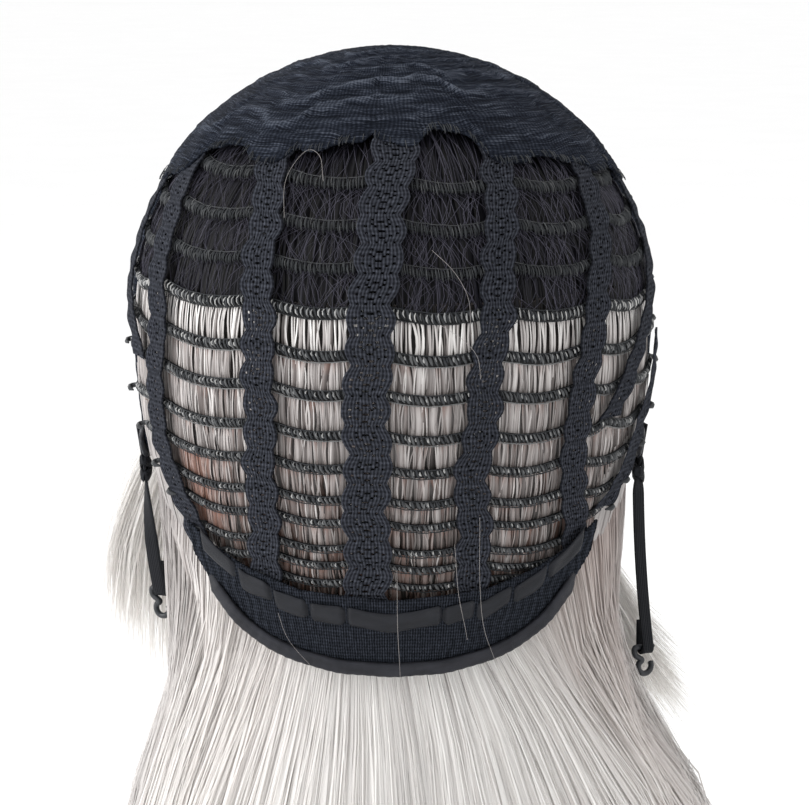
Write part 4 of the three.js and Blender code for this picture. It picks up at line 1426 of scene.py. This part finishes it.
def hang_straps():
    for strap in STRAPS:
        centres, across, through, bend, wide = strap_route(strap)
        name = f"strap_{strap.side}"
        mesh, uv = strap_mesh(strap.width, centres, across, through)
        piece(f"{name}_elastic", mesh, elastic, "elastic", [name], uv)
        knot = knot_mesh(centres, across, through)
        piece(f"{name}_knot", knot, elastic, "elastic", (), knot[0][:, 1:])
        hook = f"hook_{strap.side}"
        piece(f"{hook}_moulded", hook_mesh(bend, -wide), hook_plastic, "hook", [hook])


def level(depth):
    """The latitude of one depth, all round."""
    return lambda at: latitude_at(np.full(at.shape, float(depth)))


def dark_lining():
    def top(at):
        return np.full(at.shape, DARK_TOP_LATITUDE)

    return lining(top, level(DARK_LOW), DARK_LINING_ROWS, lambda latitude: DARK_LINING_TINT)


def silver_lining():
    """The light hair's backing, darkest under the dark wefts."""
    def tint_at(latitude):
        return 0.02 + 0.38 * np.clip((latitude - 88) / 14, 0, 1)

    def low(at):
        return latitude_at(lining_low(at))

    return lining(level(DARK_LOW + LINING_LAP), low, SILVER_LINING_ROWS, tint_at)


def lay_hair():
    draw = np.random.default_rng(51)
    strand_piece("dark_hair_lining", dark_lining(), dark_hair, "dark_hair", ["dark_hair"])
    strand_piece("dark_hair_strands", dark_windows(), dark_hair, "dark_hair")
    strand_piece("silver_hair_lining", silver_lining(), silver_hair, "silver_hair", ["silver_hair"])
    strand_piece("silver_hair_windows", silver_windows(), silver_hair, "silver_hair")
    for name, strands in (
        ("front_hair", front_hair()),
        ("notch_hair", notch_hair()),
        ("long_hair_1", long_locks(LOCK_COUNT, draw)),
        ("long_hair_2", long_locks(LOCK_COUNT, draw)),
        ("fine_hair", fine_strands(FINE_COUNT, draw)),
        ("stray_hairs", stray_hairs()),
    ):
        strand_piece(name, strands, long_hair, "silver_hair")


# Floor, light and camera

FLOOR_SIZE = 80
FLOOR_BELOW = 0.012
WORLD_LIGHT = 1.02
Lamp = namedtuple("Lamp", "name place size energy")
LAMPS = (
    Lamp("key", (-1.5, -0.5, 0.5), 0.9, 18),
    Lamp("front", (-0.8, 1.2, 0.3), 0.9, 5),
    Lamp("top", (0.1, 0.2, 1.4), 0.8, 2),
)
CAMERA_DISTANCE = 1.1
CAMERA_RISE = 8
CAMERA_PITCH = -9.546
CAMERA_HEADING = 0.209
CAMERA_LENS = 152.5
CAMERA_SENSOR = 36


def studio():
    low = CAD_BOX[0].z - FLOOR_BELOW
    half = FLOOR_SIZE / 2
    corners = [(-half, -half, low), (half, -half, low), (half, half, low), (-half, half, low)]
    mesh = bpy.data.meshes.new("floor")
    mesh.from_pydata(corners, [], [(0, 1, 2, 3)])
    shader = Shader("floor_paper", Roughness=0.9, Specular_IOR_Level=0.1)
    grain = shader.noise(shader.solid(), 12.0, 3.0)
    shader.colour(shader.ramp(grain, [(0.3, (0.965, 0.965, 0.965)), (0.7, (0.98, 0.98, 0.98))]))
    mesh.materials.append(shader.material)
    floor = bpy.data.objects.new("floor", mesh)
    bpy.context.scene.collection.objects.link(floor)
    world = bpy.data.worlds.new("studio")
    world.use_nodes = True
    sky = world.node_tree.nodes["Background"].inputs
    sky["Color"].default_value = (1, 1, 1, 1)
    sky["Strength"].default_value = WORLD_LIGHT
    bpy.context.scene.world = world
    middle = Vector((0, 0, WIDEST_Z * MM))
    for lamp in LAMPS:
        light = bpy.data.lights.new(lamp.name, "AREA")
        light.energy = lamp.energy
        light.size = lamp.size
        shown = bpy.data.objects.new(lamp.name, light)
        shown.location = lamp.place
        shown.rotation_euler = (middle - Vector(lamp.place)).to_track_quat("-Z", "Y").to_euler()
        bpy.context.scene.collection.objects.link(shown)


def set_camera():
    rise, pitch, heading = (math.radians(v) for v in (CAMERA_RISE, CAMERA_PITCH, CAMERA_HEADING))
    data = bpy.data.cameras.new("camera")
    data.lens = CAMERA_LENS
    data.sensor_width = CAMERA_SENSOR
    camera = bpy.data.objects.new("camera", data)
    height = WIDEST_Z * MM + CAMERA_DISTANCE * math.sin(rise)
    camera.location = (0, -CAMERA_DISTANCE * math.cos(rise), height)
    flat = math.cos(pitch)
    look = Vector((math.sin(heading) * flat, math.cos(heading) * flat, math.sin(pitch)))
    camera.rotation_euler = look.to_track_quat("-Z", "Y").to_euler()
    bpy.context.scene.collection.objects.link(camera)
    bpy.context.scene.camera = camera
    bpy.context.scene.view_settings.view_transform = "Standard"


set_camera()
studio()
lay_hair()
lay_out_cap()
hang_straps()

bpy.context.view_layer.update()
